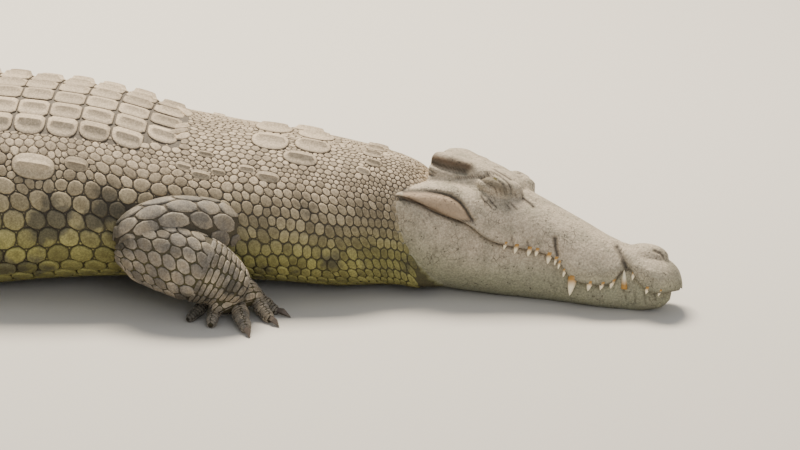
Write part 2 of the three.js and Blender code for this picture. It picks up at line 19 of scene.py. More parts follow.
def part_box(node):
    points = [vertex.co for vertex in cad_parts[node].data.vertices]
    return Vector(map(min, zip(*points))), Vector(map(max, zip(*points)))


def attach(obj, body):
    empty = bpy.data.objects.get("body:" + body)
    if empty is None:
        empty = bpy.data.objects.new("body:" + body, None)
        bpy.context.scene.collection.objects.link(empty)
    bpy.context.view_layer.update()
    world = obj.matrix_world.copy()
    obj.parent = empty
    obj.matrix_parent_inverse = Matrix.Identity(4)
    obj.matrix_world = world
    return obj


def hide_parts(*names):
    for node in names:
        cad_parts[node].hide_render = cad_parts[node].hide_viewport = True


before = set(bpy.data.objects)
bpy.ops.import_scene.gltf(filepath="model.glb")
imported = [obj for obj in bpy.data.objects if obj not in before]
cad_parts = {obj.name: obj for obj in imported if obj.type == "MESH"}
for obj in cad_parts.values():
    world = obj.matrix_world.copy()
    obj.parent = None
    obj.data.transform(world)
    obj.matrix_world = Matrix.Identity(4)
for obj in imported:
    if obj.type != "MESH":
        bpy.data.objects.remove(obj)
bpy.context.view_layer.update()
rng = np.random.default_rng(7)

# %% [markdown]
# ## Where things are
# All shapes below are worked out in millimetres on the animal's own plan: the spine runs
# along the floor, the head has a frame of its own, and one shift carries everything to the
# frame of the solids. The shift is found from the right eye, whose place both plans know.

# %% Frames of the animal and of its head
HEAD_JOINT = (66.0, -22.0, 8.0)
HEAD_YAW = math.radians(-14)  # towards the animal's right
HEAD_ROLL = math.radians(-12)  # the right side lifted
EYE = np.array([134.0, 66.0, 207.0])  # centre of the left eye in the head's frame

head_turn = Matrix.Rotation(HEAD_YAW, 3, "Z") @ Matrix.Rotation(HEAD_ROLL, 3, "X")
HEAD_AXES = np.array(head_turn)


def head_to_plan(points):
    """Points of the head's frame in the animal's plan."""
    return points @ HEAD_AXES.T + np.array(HEAD_JOINT)


def plan_to_head(points):
    """Points of the animal's plan in the head's frame."""
    return (points - np.array(HEAD_JOINT)) @ HEAD_AXES


low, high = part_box("eye_right")
eye_on_plan = head_to_plan(EYE * [1, -1, 1])
SHIFT = float((low.x + high.x) * 500 - eye_on_plan[0])  # metres halved and turned to millimetres


def metres(points):
    """Millimetres on the plan as metres in the frame."""
    return (np.asarray(points) + [SHIFT, 0, 0]) * 0.001


def millimetres(points):
    """Metres in the frame as millimetres on the plan."""
    return points * 1000 - [SHIFT, 0, 0]


def add_object(name, data):
    """A new object of the scene that holds this mesh, lamp or camera."""
    made = bpy.data.objects.new(name, data)
    bpy.context.scene.collection.objects.link(made)
    return made


print("shift along X: %.2f mm" % SHIFT)

# %% [markdown]
# ## The camera, the floor and the light
# A long lens from a low bank: the animal is seen on its right side from 19 degrees up, with
# its tail out of the picture. The light is a big soft box above and behind, as under a bright
# overcast sky, and a weak one in front, so that each scale keeps a dark lower edge.

# %% Camera
CAMERA_AZIMUTH = math.radians(4.0)
CAMERA_HEIGHT = math.radians(19.0)
CAMERA_ROLL = math.radians(1.3)
CAMERA_DISTANCE = 9.5
FIELD_ACROSS = 1.6  # metres across the picture at the target
SENSOR_WIDTH = 36.0
TARGET = metres((0.0, 0.0, 108.0))

back = Vector((
    math.sin(CAMERA_AZIMUTH) * math.cos(CAMERA_HEIGHT),
    -math.cos(CAMERA_AZIMUTH) * math.cos(CAMERA_HEIGHT),
    math.sin(CAMERA_HEIGHT),
))
level_right = Vector((math.cos(CAMERA_AZIMUTH), math.sin(CAMERA_AZIMUTH), 0))
level_up = back.cross(level_right)
right = math.cos(CAMERA_ROLL) * level_right + math.sin(CAMERA_ROLL) * level_up
up = -math.sin(CAMERA_ROLL) * level_right + math.cos(CAMERA_ROLL) * level_up
lens = bpy.data.cameras.new("long_lens")
lens.sensor_width = SENSOR_WIDTH
lens.lens = SENSOR_WIDTH * CAMERA_DISTANCE / FIELD_ACROSS
lens.clip_end = 100
camera = add_object("camera", lens)
turn = Matrix((right, up, back)).transposed().to_4x4()
camera.matrix_world = Matrix.Translation(Vector(TARGET) + back * CAMERA_DISTANCE) @ turn
bpy.context.scene.camera = camera
print("camera at", [round(v, 2) for v in camera.location])

# %% [markdown]
# Two small helpers make every material of this lesson: one turns a hex colour into the linear
# numbers that the shaders want, the other adds a node and wires it up.


# %% Colours and nodes
def linear(code):
    """An sRGB hex colour as linear RGBA."""
    parts = [int(code[i:i + 2], 16) / 255 for i in (1, 3, 5)]
    curve = [c / 12.92 if c <= 0.04045 else ((c + 0.055) / 1.055) ** 2.4 for c in parts]
    return (*curve, 1.0)


def add_node(tree, kind, settings=(), links=()):
    """A node of this kind, with its settings and socket values, joined to earlier outputs."""
    node = tree.nodes.new(kind)
    for key, value in dict(settings).items():
        if isinstance(key, str) and hasattr(node, key) and key not in node.inputs:
            setattr(node, key, value)
        else:
            node.inputs[key].default_value = value
    for key, output in dict(links).items():
        tree.links.new(output, node.inputs[key])
    return node


def new_material(name):
    """An empty material: its tree and its Principled shader."""
    material = bpy.data.materials.new(name)
    material.use_nodes = True
    return material, material.node_tree, material.node_tree.nodes["Principled BSDF"]


# %% Floor and light
FLOOR_SIZE = 40  # metres


def studio_floor():
    """One pale square under the animal."""
    bm = bmesh.new()
    bmesh.ops.create_grid(bm, x_segments=1, y_segments=1, size=FLOOR_SIZE)
    mesh = bpy.data.meshes.new("floor")
    bm.to_mesh(mesh)
    bm.free()
    floor = add_object("floor", mesh)
    material, _, shader = new_material("painted_studio_floor")
    shader.inputs["Base Color"].default_value = linear("#cfc9be")
    shader.inputs["Roughness"].default_value = 0.9
    mesh.materials.append(material)


def soft_box(name, place, aim, size, watts, tint):
    """A rectangular lamp that points at a place."""
    light = bpy.data.lights.new(name, "AREA")
    light.shape = "RECTANGLE"
    light.size, light.size_y = size
    light.energy = watts
    light.color = linear(tint)[:3]
    lamp = add_object(name, light)
    lamp.location = place
    lamp.rotation_euler = (aim - Vector(place)).to_track_quat("-Z", "Y").to_euler()


studio_floor()
shoulder = Vector((1.0, 0.0, 0.2))
soft_box("sky_box", (0.3, 2.3, 4.6), shoulder, size=(2.6, 1.8), watts=760, tint="#fff4e2")
soft_box("front_box", (2.6, -5.0, 2.6), shoulder, size=(3.0, 2.0), watts=70, tint="#eef3ff")
world = bpy.data.worlds.new("studio")
bpy.context.scene.world = world
world.use_nodes = True
around_all = world.node_tree.nodes["Background"].inputs
around_all["Color"].default_value = linear("#e9edf2")
around_all["Strength"].default_value = 0.62

# %% [markdown]
# ## Smooth tables and lines
# The body's half width, height and the rest are known at a few places only. A smooth table
# gives them anywhere between, and a smooth line does the same for the points of a path.


# %% Helpers for tables and lines
def table(rows, place, column=1):
    """Smooth value at each place, from rows of [place, value, ...]."""
    rows = np.array(rows, float)
    xs, ys = rows[:, 0], rows[:, column]
    x = np.clip(place, xs[0], xs[-1])
    k = np.clip(np.searchsorted(xs, x, side="right") - 1, 0, len(xs) - 2)
    before, after = np.maximum(k - 1, 0), np.minimum(k + 2, len(xs) - 1)
    leaving = (ys[k + 1] - ys[before]) / (xs[k + 1] - xs[before])
    arriving = (ys[after] - ys[k]) / (xs[after] - xs[k])
    span = xs[k + 1] - xs[k]
    t = (x - xs[k]) / span
    start = (1 + 2 * t) * (1 - t) ** 2 * ys[k] + t * (1 - t) ** 2 * span * leaving
    return start + t * t * (3 - 2 * t) * ys[k + 1] + t * t * (t - 1) * span * arriving


def smooth_line(points, steps=40):
    """Points along a smooth curve through the given ones."""
    p = np.array(points, float)
    ends = np.vstack([2 * p[0] - p[1], p, 2 * p[-1] - p[-2]])
    t = np.linspace(0, 1, steps, endpoint=False)[:, None]
    pieces = []
    for a, b, c, d in zip(ends, ends[1:], ends[2:], ends[3:]):
        ab, bc, cd = (np.linalg.norm(y - x) ** 0.5 for x, y in ((a, b), (b, c), (c, d)))
        leave = ((b - a) / ab - (c - a) / (ab + bc) + (c - b) / bc) * bc
        arrive = ((c - b) / bc - (d - b) / (bc + cd) + (d - c) / cd) * bc
        square = 3 * (c - b) - 2 * leave - arrive
        cube = 2 * (b - c) + leave + arrive
        pieces.append(b + leave * t + square * t ** 2 + cube * t ** 3)
    return np.vstack([*pieces, p[-1:]])


def measure(line):
    """Distance along a line of points."""
    return np.concatenate([[0], np.cumsum(np.linalg.norm(np.diff(line, axis=0), axis=1))])


def ramp(value, start, end):
    """0 before start, 1 after end, smooth between; start may be the larger."""
    t = np.clip((value - start) / (end - start), 0, 1)
    return t * t * (3 - 2 * t)


def signed_power(value, exponent):
    """A power of the size of a value, with the value's sign."""
    return np.sign(value) * np.abs(value) ** exponent


# %% [markdown]
# ## The body as a map
# A scale has to know where it sits. The trunk, neck and tail are one long tube, so each place
# on it has two map coordinates: the distance along the spine and the distance round the body
# from the middle of the back, positive on the right side. One function turns map coordinates
# and a height over the hide into a point. The skin and every scale of the body use it.

# %% Sizes of the body
SPINE_POINTS = [
    [146, -42], [0, -10], [-150, 0], [-420, 0], [-980, 0], [-1500, 0],
    [-1900, -28], [-2350, -12], [-2800, 105], [-3190, 290], [-3390, 415],
]
BODY_SIZES = [  # distance along the spine, half width, height
    [0, 40, 150], [30, 78, 172], [60, 110, 196], [90, 126, 222], [118, 133, 244], [150, 144, 256],
    [180, 158, 262], [220, 182, 268], [260, 200, 273], [350, 218, 286],
    [550, 256, 310], [750, 290, 357], [950, 312, 374], [1150, 318, 376], [1350, 296, 354],
    [1500, 240, 308], [1620, 186, 262], [1750, 150, 232], [2000, 112, 198],
    [2300, 80, 164], [2700, 50, 126], [3100, 29, 90], [3420, 15, 54], [3620, 5, 16],
]
UPPER_POWER = 2.1  # squareness of the section over its widest place
# Distance, squareness under the widest place, share of the height sunk in the floor, and the
# height of the widest place as a share.
BODY_UNDERS = [
    [0, 2.2, -0.04, 0.16], [60, 2.2, -0.02, 0.18], [120, 2.2, -0.02, 0.22],
    [160, 2.25, -0.01, 0.27], [220, 2.3, 0.0, 0.36], [280, 2.3, 0.0, 0.4],
    [420, 2.2, -0.03, 0.4], [620, 2.1, -0.04, 0.4], [820, 2.2, -0.01, 0.4],
    [1000, 2.6, 0.03, 0.4], [1200, 2.9, 0.04, 0.4],
]
BODY_START, BODY_END = 12.0, 3620.0  # from inside the skull to the tail tip

SPINE = smooth_line(SPINE_POINTS)
SPINE_AT = measure(SPINE)
SPINE_WAY = np.gradient(SPINE, SPINE_AT, axis=0)
BODY_LENGTH = float(SPINE_AT[-1])


# %% Map of the body
def section(distance, angle):
    """Across, up and the outward direction of a body section, angle 0 at the top."""
    wide = table(BODY_SIZES, distance, 1)
    tall = table(BODY_SIZES, distance, 2)
    upper = np.cos(angle) > 0
    power = np.where(upper, UPPER_POWER, table(BODY_UNDERS, distance, 1))
    widest = table(BODY_UNDERS, distance, 3)
    reach = np.where(upper, 1 - widest, widest + table(BODY_UNDERS, distance, 2)) * tall
    c, s = np.cos(angle), np.sin(angle)
    across = wide * signed_power(s, 2 / power)
    rise = reach * signed_power(c, 2 / power)
    out = signed_power(s, 2 - 2 / power) / wide
    over = signed_power(c, 2 - 2 / power) / reach
    length = np.hypot(out, over) + 1e-12
    return across, widest * tall + rise, out / length, over / length


# The way round each section is measured once, over a fine grid, and looked up afterwards.
MAP_PLACES = np.linspace(0, BODY_LENGTH, 260)
MAP_ANGLES = np.linspace(0, math.pi, 361)
grid_d, grid_a = np.meshgrid(MAP_PLACES, MAP_ANGLES, indexing="ij")
across, rise, _, _ = section(grid_d, grid_a)
steps = np.hypot(np.diff(across, axis=1), np.diff(np.maximum(rise, 0), axis=1))
round_way = np.concatenate([np.zeros((len(MAP_PLACES), 1)), np.cumsum(steps, axis=1)], axis=1)
HALF_ROUND = round_way[:, -1]
SHARES = np.linspace(0, 1, 129)
ANGLE_AT = np.array([
    np.interp(SHARES * total, way, MAP_ANGLES) for way, total in zip(round_way, HALF_ROUND)
])


def half_round(distance):
    """Way round the body from the back's middle to the belly's middle."""
    return np.interp(distance, MAP_PLACES, HALF_ROUND)


def spine_frame(distance):
    """Point of the spine and the level direction to the animal's right."""
    centre = np.stack([np.interp(distance, SPINE_AT, SPINE[:, k]) for k in (0, 1)], -1)
    way = np.stack([np.interp(distance, SPINE_AT, SPINE_WAY[:, k]) for k in (0, 1)], -1)
    way /= np.linalg.norm(way, axis=-1, keepdims=True)
    return centre, np.stack([-way[..., 1], way[..., 0]], -1)


def body_point(distance, around, lift):
    """The plan point at a place of the map, lifted from the outline of the solids."""
    distance = np.clip(distance, 0, BODY_LENGTH)
    share = np.clip(np.abs(around) / half_round(distance), 0, 1) * (len(SHARES) - 1)
    row = distance / BODY_LENGTH * (len(MAP_PLACES) - 1)
    r0 = np.clip(row.astype(int), 0, len(MAP_PLACES) - 2)
    c0 = np.clip(share.astype(int), 0, len(SHARES) - 2)
    fr, fc = row - r0, share - c0
    near = ANGLE_AT[r0, c0] * (1 - fc) + ANGLE_AT[r0, c0 + 1] * fc
    far = ANGLE_AT[r0 + 1, c0] * (1 - fc) + ANGLE_AT[r0 + 1, c0 + 1] * fc
    angle = (near * (1 - fr) + far * fr) * np.where(around < 0, -1, 1)
    across, rise, out, over = section(distance, angle)
    centre, to_right = spine_frame(distance)
    level = centre + to_right * (across + out * lift)[..., None]
    return np.concatenate([level, np.maximum(rise + over * lift, 0)[..., None]], -1)


print("body %.0f mm long, %.0f mm half round at the belly" % (BODY_LENGTH, half_round(1150)))

# %% [markdown]
# ## The limbs and toes as maps
# Each limb length is a bent tube of oval sections, and so is each toe. The same kind of map
# serves them: how far along, which angle round, and how high over the hide.

# %% Sizes of the limbs, right side
FORE_UPPER = [  # point, half width and half thickness
    [-326, -186, 146, 54, 58], [-381, -236, 174, 52, 54], [-423, -262, 188, 48, 48],
    [-465, -276, 180, 46, 48], [-502, -284, 158, 42, 44], [-522, -288, 136, 24, 26],
]
FORE_LOWER = [
    [-530, -286, 124, 22, 24], [-500, -292, 128, 44, 54], [-452, -300, 126, 52, 67],
    [-397, -304, 113, 56, 71], [-347, -301, 94, 58, 64], [-309, -293, 72, 56, 48],
    [-296, -288, 60, 50, 36],
]
FORE_WRIST, FORE_PALM = (-314, -276, 56), (-292, -296, 34)
HIND_UPPER = [
    [-1420, -110, 165, 100, 92], [-1370, -200, 158, 98, 86], [-1300, -300, 138, 80, 72],
    [-1235, -378, 112, 58, 58], [-1206, -402, 100, 30, 32],
]
HIND_LOWER = [
    [-1204, -396, 92, 40, 42], [-1238, -410, 88, 60, 56], [-1310, -440, 68, 54, 46],
    [-1370, -462, 44, 42, 32], [-1392, -472, 32, 30, 24],
]
HIND_ANKLE, HIND_PALM = (-1384, -474, 24), (-1272, -540, 18)
FORE_TOES = [  # root, then tip on the floor, then radius
    [-262, -240, 34, -217, -262, 12], [-268, -258, 40, -225, -312, 14],
    [-298, -286, 42, -267, -376, 16], [-334, -284, 38, -339, -358, 13],
    [-350, -272, 34, -387, -330, 12],
]
HIND_TOES = [
    [-1262, -538, 20, -1144, -531, 17], [-1256, -545, 22, -1119, -587, 18],
    [-1258, -550, 22, -1134, -640, 17], [-1264, -556, 20, -1194, -656, 15],
]
TOE_SHAPE = [  # share of the length, shares of the radius across and up: knuckles and pads
    [-0.35, 1.15, 1.1], [0.0, 1.12, 1.08], [0.28, 0.95, 0.96], [0.46, 1.04, 1.04],
    [0.66, 0.86, 0.9], [0.82, 0.84, 0.84], [0.95, 0.6, 0.62], [1.0, 0.4, 0.42],
]
TOE_TIP_HEIGHT, TOE_SINK = 8, 0.92  # a toe's least height is this share of its radius
SOLE_SHAPE = [[0.86, 1.1], [1.0, 1.0], [1.0, 0.86], [0.86, 0.5]]  # wrist, middle, palm, front
SOLE_END_HEIGHT = 0.8  # height of the front edge, as a share of the palm's
FORE_FOOT, HIND_FOOT = (62, 34), (54, 26)  # half width and half thickness
FORE_MIRROR, HIND_MIRROR = (34, 0.84), (-46, 1.0)  # a left limb's shift and its height's share


# %% Map of a limb
class LimbMap:
    """A tube through stations of [x, y, z, half width, half thickness]."""

    def __init__(self, stations, mirror=None):
        """Measures the tube. A mirror is a left limb's shift and its height's share."""
        self.rows = np.array(stations, float)
        self.line = smooth_line(self.rows[:, :3])
        self.steps = np.linspace(0, len(stations) - 1, len(self.line))
        self.way = np.gradient(self.line, self.steps, axis=0)
        self.way /= np.linalg.norm(self.way, axis=1, keepdims=True)
        self.distance = measure(self.line)
        self.length = float(self.distance[-1])
        shift, rise = mirror or (0, 1)
        self.mirror = np.array([1, -1 if mirror else 1, rise])
        self.shift = np.array([shift, 0, 0])

    def sizes(self, along):
        """Half width and half thickness at a distance along."""
        step = np.interp(along, self.distance, self.steps)
        table_rows = np.column_stack([np.arange(len(self.rows)), self.rows[:, 3:]])
        return table(table_rows, step, 1), table(table_rows, step, 2)

    def point(self, along, angle, lift):
        """The plan point at a distance along, an angle round and a height over the hide."""
        centre = np.stack([np.interp(along, self.distance, self.line[:, k]) for k in range(3)], -1)
        way = np.stack([np.interp(along, self.distance, self.way[:, k]) for k in range(3)], -1)
        side = np.stack([-way[..., 1], way[..., 0], np.zeros_like(way[..., 0])], -1)
        side /= np.linalg.norm(side, axis=-1, keepdims=True)
        over = np.cross(way, side)
        wide, thick = self.sizes(along)
        c, s = np.cos(angle), np.sin(angle)
        out, high = c / wide, s / thick
        length = np.hypot(out, high)
        level = (wide * c + out / length * lift)[..., None] * side
        points = centre + level + (thick * s + high / length * lift)[..., None] * over
        points = points * self.mirror + self.shift
        points[..., 2] = np.maximum(points[..., 2], 0)
        return points


def toe_stations(toe):
    """Stations of a toe, from inside the sole to its tip on the floor."""
    root, tip, radius = np.array(toe[:3]), np.array([*toe[3:5], TOE_TIP_HEIGHT]), toe[5]
    stations = []
    for far, wide, thick in TOE_SHAPE:
        x, y = (root + (tip - root) * far)[:2]
        z = tip[2] + (root[2] - tip[2]) * max(1 - far, 0) ** 1.4
        z = max(z, radius * thick * TOE_SINK)
        stations.append([x, y, z, radius * wide, radius * thick])
    return stations


def sole_stations(wrist, palm, size):
    """Stations of a sole: wrist, middle, palm and front edge."""
    wrist, palm = np.array(wrist, float), np.array(palm, float)
    middle = wrist + 0.5 * (palm - wrist)
    end = palm + 0.5 * (palm - middle)
    end[2] = palm[2] * SOLE_END_HEIGHT
    return [[*place, size[0] * wide, size[1] * thick]
            for place, (wide, thick) in zip((wrist, middle, palm, end), SOLE_SHAPE)]


# How far the skin lies inside the solids on each length of a limb, which leaves the scales room.
LIMB_DEPTHS = {"upper": 4, "lower": 3, "sole": 2, "toe": 1.5}
LEGS = {}
for name, rows in {
    "fore": (FORE_UPPER, FORE_LOWER, FORE_WRIST, FORE_PALM, FORE_TOES, FORE_FOOT, FORE_MIRROR),
    "hind": (HIND_UPPER, HIND_LOWER, HIND_ANKLE, HIND_PALM, HIND_TOES, HIND_FOOT, HIND_MIRROR),
}.items():
    upper, lower, wrist, palm, toes, foot, mirror = rows
    for side in ("right", "left"):
        place = mirror if side == "left" else None
        LEGS[name, side] = {
            "upper": LimbMap(upper, place),
            "lower": LimbMap(lower, place),
            "sole": LimbMap(sole_stations(wrist, palm, foot), place),
            "toes": [LimbMap(toe_stations(toe), place) for toe in toes],
        }
print("limbs:", len(LEGS), "upper arm %.0f mm" % LEGS["fore", "right"]["upper"].length)

# %% [markdown]
# ## The head as a form
# A crocodile's head is the hardest part. Its sections come from the outline of the skull and
# jaw: a rounded snout, the flat box of the skull table over it, a brow over each eye and a
# button at the nostrils. Each is a distance out from a line down the middle of the head, and
# the largest one wins, with a soft change between them. Folds, lids and the ear's recess are
# then pressed in or raised along short lines.

# %% Outlines of the head
SKULL_HALF_WIDTH = [
    [-74, 122], [-42, 139], [0, 147], [52, 138], [104, 121], [156, 104], [208, 90], [260, 83],
    [322, 85], [364, 75], [398, 60], [418, 52], [442, 57], [470, 61], [492, 52], [507, 32],
    [514, 12],
]
SKULL_TOP = [
    [-74, 176], [0, 204], [60, 212], [120, 210], [165, 204], [205, 190], [255, 170], [305, 150],
    [355, 129], [405, 116], [450, 108], [480, 97], [500, 82], [514, 58],
]
TABLE_HALF_WIDTH = [[-34, 70], [-10, 79], [32, 77], [84, 66], [126, 55], [158, 40], [186, 20]]
TABLE_TOP = [[-34, 234], [-10, 252], [30, 258], [60, 251], [104, 241], [146, 226], [186, 200]]
MOUTH_LINE = [
    [-146, 162], [-66, 169], [-20, 171], [26, 158], [75, 140], [103, 130], [135, 108], [165, 98],
    [214, 92], [250, 88], [280, 76], [312, 46], [358, 38], [388, 44], [406, 69], [422, 74],
    [440, 52], [470, 36], [500, 38], [540, 46],
]
JAW_HALF_WIDTH = [
    [-92, 116], [-66, 134], [-36, 144], [0, 147], [52, 134], [104, 113], [156, 94], [208, 78],
    [260, 69], [322, 63], [374, 54], [416, 46], [452, 41], [476, 32], [492, 16],
]
JAW_BOTTOM = [
    [-92, 140], [-76, 92], [-58, 56], [-36, 24], [0, 0], [40, -14], [300, -14], [430, -12],
    [478, 0], [492, 14],
]
BROW, BROW_SIZE = np.array([128.0, 46.0, 202.0]), np.array([58.0, 27.0, 23.0])
LID_SIZE = np.array([36.0, 22.0, 20.0])
NOSTRILS, NOSTRILS_SIZE = np.array([438.0, 0.0, 100.0]), np.array([44.0, 34.0, 23.0])
SKULL_ENDS, JAW_ENDS = (-74.0, 514.0), (-92.0, 492.0)
HEAD_DEPTH = 1.5  # how far the head's hide lies inside the solids
FACE_POWER, TABLE_POWER = 2.5, 7  # squareness of the sections
JAW_POWERS = (4, 2.3)  # over and under the widest place
FACE_OVER_MOUTH = 12  # least height of the face over the mouth line
TABLE_FADES = (-14, 0, 170, 188)  # the skull table rises and sinks again between these
FORM_BLEND = 3.0  # softness of the change from one form to the next
LIP_SPARE = 14  # reach of the jaw over the mouth line, inside the face
JAW_WIDEST = 0.62  # height of the jaw's widest place, as a share
HEAD_CROWDING = 1.25  # the rings of the head stand closer towards the snout
PALATE_FROM, PALATE_RISE = 0.8, 6  # share of the way round where the lip ends, and height inside


# %% Distances out from the middle of the head
def oval_reach(x, sine, cosine, floor, centre, size):
    """How far out a ray meets an oval lump, 0 where it misses. Ray from (0, floor)."""
    inside = 1 - ((x - centre[0]) / size[0]) ** 2
    scale = np.sqrt(np.clip(inside, 1e-6, 1))
    a, b = size[1] * scale, size[2] * scale
    oy, oz = -centre[1], floor - centre[2]
    p = (sine / a) ** 2 + (cosine / b) ** 2
    q = sine * oy / a ** 2 + cosine * oz / b ** 2
    r = (oy / a) ** 2 + (oz / b) ** 2 - 1
    root = q ** 2 - p * r
    reach = (-q + np.sqrt(np.clip(root, 0, None))) / p
    return np.where((inside > 0) & (root > 0), reach, 0)


def box_reach(sine, cosine, wide, tall, power):
    """How far out a ray meets a rounded box round the middle."""
    return (np.abs(sine / wide) ** power + np.abs(cosine / tall) ** power) ** (-1 / power)


def soft_max(reaches):
    """The largest of several reaches, with a soft change between them."""
    top = np.max(reaches, axis=0)
    return top + FORM_BLEND * np.log(sum(np.exp((r - top) / FORM_BLEND) for r in reaches))


def skull_reach(x, turn):
    """Distance out of the skull's hide at a place forward and an angle from the top."""
    floor = table(MOUTH_LINE, x)
    sine, cosine = np.sin(turn), np.cos(turn)
    wide = table(SKULL_HALF_WIDTH, x) - HEAD_DEPTH
    tall = np.maximum(table(SKULL_TOP, x) - floor, FACE_OVER_MOUTH) - HEAD_DEPTH
    face = box_reach(sine, cosine, wide, tall, FACE_POWER)
    rise_from, risen, sink_from, sunk = TABLE_FADES
    there = ramp(x, rise_from, risen) * ramp(x, sunk, sink_from)
    roof = (table(TABLE_TOP, x) - floor - HEAD_DEPTH) * there + 1
    plate = box_reach(sine, cosine, table(TABLE_HALF_WIDTH, x) * there + 1, roof, TABLE_POWER)
    lumps = [oval_reach(x, sine, cosine, floor, centre, size) for centre, size in (
        (BROW, BROW_SIZE), (EYE, LID_SIZE), (NOSTRILS, NOSTRILS_SIZE))]
    return soft_max([face, plate, *lumps]), floor


# %% [markdown]
# Lids, lips, the ear and the wrinkles are lines drawn on the side of the head. Each line has a
# depth, and the hide sinks or rises by it, most on the line itself and less beside it. The
# lines are given as the head is seen a little from the front and from above.

# %% Folds of the head, both sides alike
SIDE_SLIDE = (0.278, 0.136)  # forward and up for each millimetre out from the middle
FOLDS = {  # depth (raised above 0), half width, and the line's points: forward, up
    "lip over the cheek": (-8, 4.5, [
        (-69, 164), (-57, 167), (-25, 170), (7, 170), (28, 167), (46, 159), (60, 146), (70, 133),
        (77, 124)]),
    "slit of the eye": (-5, 2.4, [
        (86, 210), (98, 218), (113, 216), (128, 207), (139, 199), (149, 192)]),
    "under the lid": (-2.6, 2.4, [(88, 207), (99, 200), (115, 193), (132, 189), (149, 191)]),
    "upper lid crease": (-3.2, 2.4, [(96, 222), (108, 224), (123, 220), (138, 211), (150, 199)]),
    "brow crease": (-2.6, 2.4, [(106, 235), (118, 228), (133, 222), (148, 214)]),
    "crease before the eye": (-4, 3.4, [
        (150, 192), (161, 188), (170, 184), (186, 176), (199, 167)]),
    "ear recess": (-10, 7, [
        (-23, 232), (-11, 229), (6, 225), (23, 223), (38, 222), (52, 221)]),
    "crest over the ear": (3.5, 6, [(-21, 247), (-2, 251), (17, 246), (38, 237), (62, 233)]),
    "ear to eye": (-3.5, 2.8, [(37, 204), (67, 210), (84, 213)]),
    "ear flap": (-3.6, 2.6, [(-42, 216), (-31, 211), (-19, 204), (-11, 204)]),
    "over the ear flap": (-2.6, 2.2, [(-34, 221), (-20, 214), (-9, 209)]),
    "behind the jaw joint": (-3.5, 2.6, [(-71, 189), (-66, 178), (-56, 167)]),
    "roll of the cheek": (5, 11, [(-62, 180), (-38, 183), (-13, 186), (16, 185), (38, 179)]),
    "wrinkle 1": (-2.6, 2, [(98, 167), (106, 161), (114, 153)]),
    "wrinkle 2": (-2.6, 2, [(106, 172), (113, 165), (124, 156)]),
    "wrinkle 3": (-2.2, 2, [(91, 174), (97, 166), (104, 157)]),
    "wrinkle 4": (-2.2, 2, [(142, 166), (152, 157)]),
    "wrinkle 5": (-2.2, 2, [(152, 168), (166, 157)]),
    "notch before the big tooth": (-5, 5, [(248, 111), (251, 93), (256, 78)]),
    "notch for the lower tooth": (-6, 6, [(377, 109), (387, 92), (398, 70)]),
    "lip crease": (-2, 3.2, [(165, 82), (160, 102)]),
    "middle lip crease": (-2, 3.2, [(200, 75), (192, 98)]),
    "nostril": (-5, 3, [(452, 111), (464, 109), (472, 101)]),
    "lip bulge": (4, 15, [(294, 57), (336, 50), (370, 58)]),
    "front bulge": (4, 14, [(421, 73), (457, 62), (475, 56)]),
}
JAW_FOLDS = {
    "under the cheek": (-4, 2.8, [
        (-82, 148), (-55, 148), (-33, 143), (-4, 132), (22, 125), (45, 121), (72, 122)]),
    "jaw crack 1": (-1.6, 1.6, [(-6, 133), (-12, 121), (-23, 110)]),
    "jaw crack 2": (-1.4, 1.6, [(11, 67), (4, 48), (-4, 31)]),
    "jaw crack 3": (-1.4, 1.6, [(110, 66), (109, 45)]),
    "lip wrinkle 1": (-2, 2, [(398, 26), (405, 7)]),
    "lip wrinkle 2": (-2, 2, [(420, 25), (423, 4)]),
    "lip wrinkle 3": (-2, 2, [(440, 26), (444, 4)]),
    "lip wrinkle 4": (-1.6, 2, [(460, 26), (466, 11)]),
}
SIDE_FOLDS_FROM = 12.0  # the lines stay this far from the middle of the head
TOP_DIP, TOP_DIP_WIDTH = -4, 34  # hollow of the skull table
TOP_DIP_FADES = (-20, 10, 100, 140)  # it sinks and rises again between these


def side_view(points):
    """Forward and up coordinates of head points in the side view."""
    out = np.abs(points[:, 1])
    return np.stack([points[:, 0] - SIDE_SLIDE[0] * out, points[:, 2] - SIDE_SLIDE[1] * out], 1)


def line_gap(places, line):
    """Distance of each place of the side view from a line through a few points."""
    line = np.array(line, float)
    best = np.full(len(places), 1e9)
    for a, b in zip(line, line[1:]):
        t = np.clip((places - a) @ (b - a) / ((b - a) @ (b - a)), 0, 1)
        best = np.minimum(best, np.linalg.norm(places - a - t[:, None] * (b - a), axis=1))
    return best


def press(points, folds, middle_height):
    """Head points moved in or out along the folds, away from the middle of the head."""
    out = points - np.stack([points[:, 0], points[:, 1] * 0, middle_height], -1)
    out /= np.linalg.norm(out, axis=1, keepdims=True) + 1e-9
    amount = np.zeros(len(points))
    places = side_view(points)
    for depth, width, line in folds.values():
        amount += depth * np.exp(-(line_gap(places, line) / width) ** 2)
    return points + out * (amount * ramp(np.abs(points[:, 1]), 0, SIDE_FOLDS_FROM))[:, None]


def head_places(ends, along):
    """Distance forward of a share of the head's length."""
    return ends[0] + (ends[1] - ends[0]) * (1 - (1 - along) ** HEAD_CROWDING)


